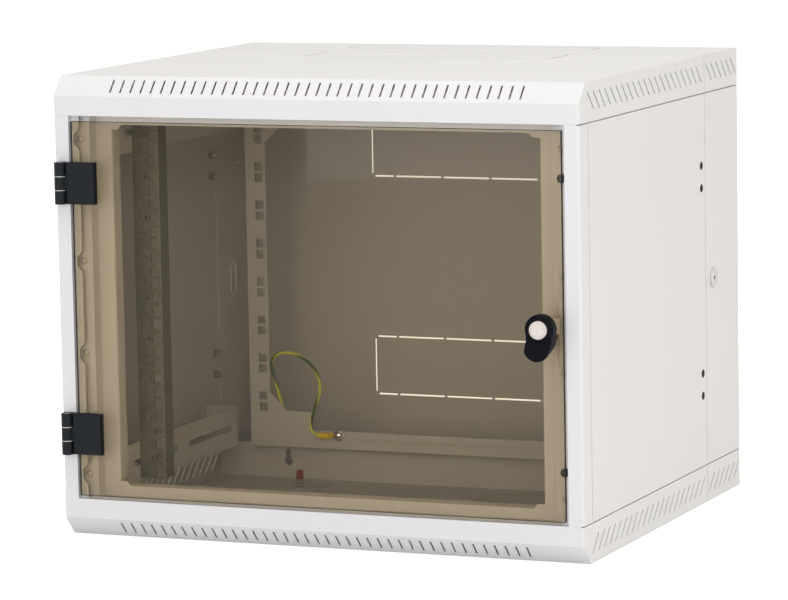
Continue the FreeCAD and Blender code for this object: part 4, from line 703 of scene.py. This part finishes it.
class CABINET_OT_earth_lead(bpy.types.Operator):
    """Run the earth lead from the cross bar's screw to the stud behind it, with a sleeved ring at each end"""
    bl_idname = "cabinet.earth_lead"
    bl_label = "Earth lead"

    def execute(self, context):
        points = spline_points(LEAD_ROUTE)
        mesh, length = tube_mesh(points, LEAD_DIAMETER / 2)
        lead = piece("earth_lead_sheath", mesh, ["green_yellow_sheath"], "main_body")
        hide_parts("earth_lead")
        low, high = (Vector(corner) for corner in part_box("earth_lug_screw"))
        screw = (low + high) / 2
        corner_to_axis = Vector((2.5, 4.5, 2.5)) * MM
        stud = Vector(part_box("earth_far_stud")[0]) + corner_to_axis
        ends = [sleeved_ring("earth_lug", screw), sleeved_ring("earth_far_lug", stud)]
        return {"FINISHED"}


class CABINET_OT_frame_bolts(bpy.types.Operator):
    """Round heads of the bolts that hold the inner front frame"""
    bl_idname = "cabinet.frame_bolts"
    bl_label = "Frame bolts"

    def execute(self, context):
        head, shank = 2.6, 9.0
        seats = [((low.x + high.x) / 2, low.y + head * MM, (low.z + high.z) / 2)
                 for low, high in solids_of("frame_bolts")]
        parts = [("dome", "Head", 4.0, 0.0, head),
                 ("disc", "Pip", 1.1, 2.2, 0.6),
                 ("thread", "Shank", 2.45, -shank, shank)]
        made = grown("frame_bolt_heads", parts, seats, (0, -1, 0), "dulled_zinc", "main_body")
        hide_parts("frame_bolts")
        return {"FINISHED"}


class CABINET_OT_hinge_fixings(bpy.types.Operator):
    """Bolts, washers and nuts of the hinge between the two sections"""
    bl_idname = "cabinet.hinge_fixings"
    bl_label = "Body hinge fixings"

    def execute(self, context):
        head, shank = 2.6, 11.5
        seats = [(low.x + head * MM, (low.y + high.y) / 2, (low.z + high.z) / 2)
                 for low, high in bolts_of("body_hinge_fixings")]
        parts = [("dome", "Head", 5.5, 0.0, head),
                 ("thread", "Shank", 2.95, -shank, shank),
                 ("disc", "Washer", 5.2, -4.5, 1.0),
                 ("nut", "Nut", 4.6, -9.5, 5.0)]
        made = grown("body_hinge_bolts", parts, seats, (-1, 0, 0), "zinc_plated_steel", "main_body")
        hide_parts("body_hinge_fixings")
        return {"FINISHED"}


class CABINET_OT_rail_fixings(bpy.types.Operator):
    """Bolts and nuts that hold the front rails in the brackets' slots"""
    bl_idname = "cabinet.rail_fixings"
    bl_label = "Rail fixings"

    def execute(self, context):
        head, shank = 3.2, 12.1
        parts = [("cross_dome", "Head", 5.0, 0.0, head),
                 ("thread", "Shank", 2.95, -shank, shank),
                 ("nut", "Nut", 5.7, -9.1, 5.0)]
        for side, inward in (("left", 1), ("right", -1)):
            node = "front_rail_fixings_" + side
            bolts = bolts_of(node)
            ends = [low.x if inward < 0 else high.x for low, high in bolts]
            seats = [(end - inward * head * MM, (low.y + high.y) / 2, (low.z + high.z) / 2)
                     for end, (low, high) in zip(ends, bolts)]
            made = grown("rail_bolts_" + side, parts, seats, (inward, 0, 0),
                         "zinc_plated_steel", side + "_rail")
            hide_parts(node)
        return {"FINISHED"}


class CABINET_OT_hole_plugs(bpy.types.Operator):
    """Caps in the spare hinge holes of the right wall"""
    bl_idname = "cabinet.hole_plugs"
    bl_label = "Hole plugs"

    def execute(self, context):
        cap, stem = 1.0, 4.0
        seats = [(high.x - cap * MM, (low.y + high.y) / 2, (low.z + high.z) / 2)
                 for low, high in solids_of("hole_plugs")]
        parts = [("dome", "Cap", 4.6, 0.0, cap),
                 ("disc", "Stem", 3.1, -stem, stem)]
        made = grown("hole_plug_caps", parts, seats, (1, 0, 0), "black_plastic", "main_body")
        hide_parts("hole_plugs")
        return {"FINISHED"}


class CABINET_OT_clamps(bpy.types.Operator):
    """Plates and screws behind the glass that pull the door hinges tight, and the plate of the lock"""
    bl_idname = "cabinet.clamps"
    bl_label = "Plates behind the glass"

    def execute(self, context):
        off_the_glass = (0.0, 0.1 * MM, 0.0)
        for node, name, item in (("hinge_clamp_plates", "clamp_plates", "dulled_zinc"),
                                 # The lock's plate takes the near-white painted sheen.
                                 ("lock_plate", "lock_backing_plate", "bright_zinc")):
            made = piece(name, copy_of(node, off_the_glass), [item], "door")
            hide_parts(node)
        head, shank = 1.6, 1.8
        seats = [((low.x + high.x) / 2, high.y - head * MM, (low.z + high.z) / 2)
                 for low, high in solids_of("hinge_clamp_screws")]
        parts = [("cross_dome", "Head", 3.2, 0.0, head),
                 ("disc", "Shank", 1.7, -shank, shank)]
        made = grown("clamp_screw_heads", parts, seats, (0, 1, 0), "dulled_zinc", "door")
        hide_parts("hinge_clamp_screws")
        return {"FINISHED"}


class CABINET_OT_glass(bpy.types.Operator):
    """Pane with its corners made tighter than the solid's, and the dark line of its ground edge"""
    bl_idname = "cabinet.glass"
    bl_label = "Glass"

    def execute(self, context):
        solid_corner, corner_radius, inset, steps = 3 * MM, 1 * MM, 0.2 * MM, 6
        low, high = (Vector(corner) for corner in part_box("glass_panel"))
        pane = copy_of("glass_panel")
        for vertex in pane.verts:
            x, z = (1 if value > middle else -1 for value, middle in
                    ((vertex.co.x, (low.x + high.x) / 2), (vertex.co.z, (low.z + high.z) / 2)))
            corner = Vector((high.x if x > 0 else low.x, vertex.co.y, high.z if z > 0 else low.z))
            from_arc = vertex.co - (corner - Vector((x, 0, z)) * solid_corner)
            if from_arc.x * x > -WELD and from_arc.z * z > -WELD:
                tighter = from_arc / (solid_corner / corner_radius)
                vertex.co = corner - Vector((x, 0, z)) * corner_radius + tighter
        made = piece("glass_pane", pane, ["smoked_glass"], "door", sharp=25.0)
        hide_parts("glass_panel")

        rim, mesh = settings().sizes.rim, bmesh.new()
        rings = []
        for out in (rim, -rim / 2):
            radius = corner_radius + out
            for y in (low.y + inset, high.y - inset):
                ring = []
                for x, z, first in ((1, 1, 0), (-1, 1, 90), (-1, -1, 180), (1, -1, 270)):
                    centre = ((high.x if x > 0 else low.x) - x * corner_radius,
                              (high.z if z > 0 else low.z) - z * corner_radius)
                    for step in range(steps + 1):
                        turn = math.radians(first + step * 90 / steps)
                        ring.append(mesh.verts.new((centre[0] + radius * math.cos(turn), y,
                                                    centre[1] + radius * math.sin(turn))))
                rings.append(ring)
        around = (rings[0], rings[1], rings[3], rings[2])
        for ring, following in zip(around, around[1:] + around[:1]):
            for step in range(len(ring)):
                after = (step + 1) % len(ring)
                mesh.faces.new((ring[step], ring[after], following[after], following[step]))
        piece("glass_edge", mesh, ["glass_rim"], "door")
        return {"FINISHED"}


class CABINET_OT_key_cylinder(bpy.types.Operator):
    """Face of the key cylinder, with its rim, its plug and the key's slot"""
    bl_idname = "cabinet.key_cylinder"
    bl_label = "Key cylinder"

    def execute(self, context):
        low, high = (Vector(corner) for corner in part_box("key_cylinder"))
        centre = Vector(((low.x + high.x) / 2, low.y, 0.0))
        profile = [(9.5, -12.0), (9.5, -0.6), (8.9, 0.0), (8.0, 0.0),
                   (7.8, -0.5), (7.4, -0.5), (7.2, 0.0), (0.3, 0.1)]
        made = piece("key_cylinder_face", lathed(profile, centre, (0, -1, 0)), ["satin_nickel"], "door_key")
        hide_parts("key_cylinder")
        sunk = Vector((0.0, 0.1 * MM, 0.0))
        piece("key_slot", bar((0.8, 0.5, 5.5), centre + sunk), ["dulled_zinc"], "door_key")
        return {"FINISHED"}


class CABINET_OT_keyway(bpy.types.Operator):
    """Painted shade of the keyway in the cam lock of the wall section: a thin black bar on the cylinder's
    face
    """
    bl_idname = "cabinet.keyway"
    bl_label = "Keyway"

    def execute(self, context):
        low, high = (Vector(corner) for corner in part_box("rear_lock_cylinder"))
        off_centre = 2.0 * MM
        centre = (high.x, (low.y + high.y) / 2 - off_centre, 0.0)
        # Painted shade: a black bar stands in for the dark inside of the keyway's slot.
        piece("rear_keyway", bar((0.4, 3.0, 3.4), centre), ["black_rubber"], "rear_lock")
        return {"FINISHED"}


class CABINET_OT_rivets(bpy.types.Operator):
    """Rivets inside the walls of the wall section"""
    bl_idname = "cabinet.rivets"
    bl_label = "Rivets"

    def execute(self, context):
        wall = 1.5 * MM
        outer, front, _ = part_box("rear_side_left")[0]
        parts = [("dome", "Rivet", settings().sizes.rivet / MM, 0.0, 1.4)]
        for side, inward in (("left", 1), ("right", -1)):
            places = [(-inward * (abs(outer) - wall), front + RIVET_SETBACK, height)
                      for height in RIVET_HEIGHTS]
            grown("wall_rivets_" + side, parts, places, (inward, 0, 0), "zinc_plated_steel", "wall_section")
        return {"FINISHED"}


class CABINET_OT_earth_stud(bpy.types.Operator):
    """Threaded stud with its washer, nuts and red cap"""
    bl_idname = "cabinet.earth_stud"
    bl_label = "Earth stud"

    def execute(self, context):
        low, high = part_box("earth_stud")
        base = ((low[0] + high[0]) / 2, (low[1] + high[1]) / 2, low[2])
        washer, nut = 1.6, 4.2
        parts = [("thread", "Stud", 2.95, 0.0, 17.0),
                 ("disc", "Washer", 6.2, 0.0, washer),
                 ("nut", "Lower nut", 5.75, washer, nut),
                 ("nut", "Upper nut", 6.3, washer + nut, nut)]
        steel = grown("earth_stud_steel", parts, [base], (0, 0, 1), "chromed_metal", "main_body")
        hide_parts("earth_stud", "earth_stud_nuts")
        profile = [(4.0, 10.0), (4.2, 10.3), (3.9, 18.0), (3.6, 19.6), (2.8, 20.3), (1.2, 20.5)]
        cap = piece("red_stud_cap", lathed(profile, base, (0, 0, 1)), ["red_plastic"], "main_body")
        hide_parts("earth_stud_cap")
        return {"FINISHED"}


class CABINET_OT_earth_screw(bpy.types.Operator):
    """Screw with its toothed washer, over the lead's front ring"""
    bl_idname = "cabinet.earth_screw"
    bl_label = "Earth screw"

    def execute(self, context):
        washer, head, shank, out = 1.0, 3.0, 10.0, 4.0
        low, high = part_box("earth_lug_screw")
        seat = ((low[0] + high[0]) / 2, low[1] + out * MM, (low[2] + high[2]) / 2)
        parts = [("toothed", "Washer", 6.1, 0.0, washer),
                 ("cross_dome", "Head", 5.4, washer, head),
                 ("thread", "Shank", 2.45, -shank, shank)]
        made = grown("earth_screw_head", parts, [seat], (0, -1, 0), "chromed_metal", "main_body")
        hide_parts("earth_lug_screw")
        return {"FINISHED"}


# Stage --------------------------------------------------------------------------------------------

def lamp(name, place, size, power, colour):
    """Soft square lamp that points at the cabinet."""
    light = bpy.data.lights.new(name, "AREA")
    light.energy = power
    light.color = colour
    light.size = size
    holder = bpy.data.objects.new(name, light)
    holder.location = place
    aim = Vector(LAMP_TARGET) - Vector(place)
    holder.rotation_euler = aim.to_track_quat("-Z", "Y").to_euler()
    bpy.context.scene.collection.objects.link(holder)


def white_room(light, strength):
    """World that lights softly and looks white wherever it is seen, reflected or looked through to."""
    world = bpy.data.worlds.new("white_room")
    world.use_nodes = True
    nodes = Nodes(world.node_tree)
    mixed = nodes.mix(nodes.seen(), [channel * strength for channel in light], (1.0, 1.0, 1.0))
    nodes.feed(nodes.tree.nodes["Background"].inputs["Color"], mixed)
    bpy.context.scene.world = world


def pale_floor():
    """White wherever the lamps reach it, with a soft shadow under and behind the cabinet."""
    paint = Paint("floor", roughness=0.9, specular_ior_level=0.0, emission_strength=1.0)
    paint.set("Base Color", (0.93, 0.93, 0.93))
    paint.set("Emission Color", paint.mix(paint.seen(), (0.0, 0.0, 0.0), [settings().stage.floor] * 3))
    return paint.material


class CABINET_OT_stage(bpy.types.Operator):
    """Set up the camera, the pale floor and the soft light"""
    bl_idname = "cabinet.stage"
    bl_label = "Stage"

    def execute(self, context):
        stage = settings().stage
        scene = context.scene
        camera = bpy.data.objects.new("camera", bpy.data.cameras.new("camera"))
        camera.location = stage.place
        camera.rotation_euler = stage.turn
        camera.data.sensor_width = 36.0
        camera.data.lens = stage.lens
        camera.data.clip_end = 100.0
        scene.collection.objects.link(camera)
        scene.camera = camera

        floor_mesh = bmesh.new()
        bmesh.ops.create_grid(floor_mesh, size=FLOOR_REACH)
        bmesh.ops.translate(floor_mesh, verts=floor_mesh.verts, vec=(0, 0, CAD_BOX[0][2] - FLOOR_GAP))
        data = bpy.data.meshes.new("floor")
        floor_mesh.to_mesh(data)
        floor_mesh.free()
        data.materials.append(pale_floor())
        floor = bpy.data.objects.new("floor", data)
        scene.collection.objects.link(floor)

        white_room(stage.room, stage.fill)
        for name, (place, size, colour) in LAMPS.items():
            lamp(name + "_lamp", place, size, getattr(stage, name), getattr(stage, colour))
        scene.view_settings.view_transform = "Standard"
        return {"FINISHED"}


OPERATORS = [CABINET_OT_stage, CABINET_OT_earth_lead, CABINET_OT_finishes, CABINET_OT_frame_bolts,
             CABINET_OT_hinge_fixings, CABINET_OT_rail_fixings, CABINET_OT_hole_plugs, CABINET_OT_clamps,
             CABINET_OT_glass, CABINET_OT_key_cylinder, CABINET_OT_keyway, CABINET_OT_rivets,
             CABINET_OT_earth_stud, CABINET_OT_earth_screw]


class CABINET_PT_panel(bpy.types.Panel):
    """Lists the cabinet's pieces in the sidebar"""
    bl_idname = "CABINET_PT_panel"
    bl_label = "Cabinet"
    bl_space_type = "VIEW_3D"
    bl_region_type = "UI"
    bl_category = "Cabinet"

    def draw(self, context):
        for operator in OPERATORS:
            self.layout.operator(operator.bl_idname)
        cabinet = context.scene.cabinet
        for group in (cabinet.finishes, cabinet.sizes, cabinet.stage):
            for name in group.bl_rna.properties.keys():
                if name not in ("rna_type", "name"):
                    self.layout.prop(group, name)


CLASSES = [CabinetFinishes, CabinetSizes, CabinetStage, CabinetSettings, *OPERATORS, CABINET_PT_panel]


def register():
    for item in CLASSES:
        bpy.utils.register_class(item)
    bpy.types.Scene.cabinet = bpy.props.PointerProperty(type=CabinetSettings)


def unregister():
    del bpy.types.Scene.cabinet
    for item in reversed(CLASSES):
        bpy.utils.unregister_class(item)


def main():
    register()
    for operator in OPERATORS:
        group, name = operator.bl_idname.split(".")
        getattr(getattr(bpy.ops, group), name)()


if __name__ == "__main__":
    main()
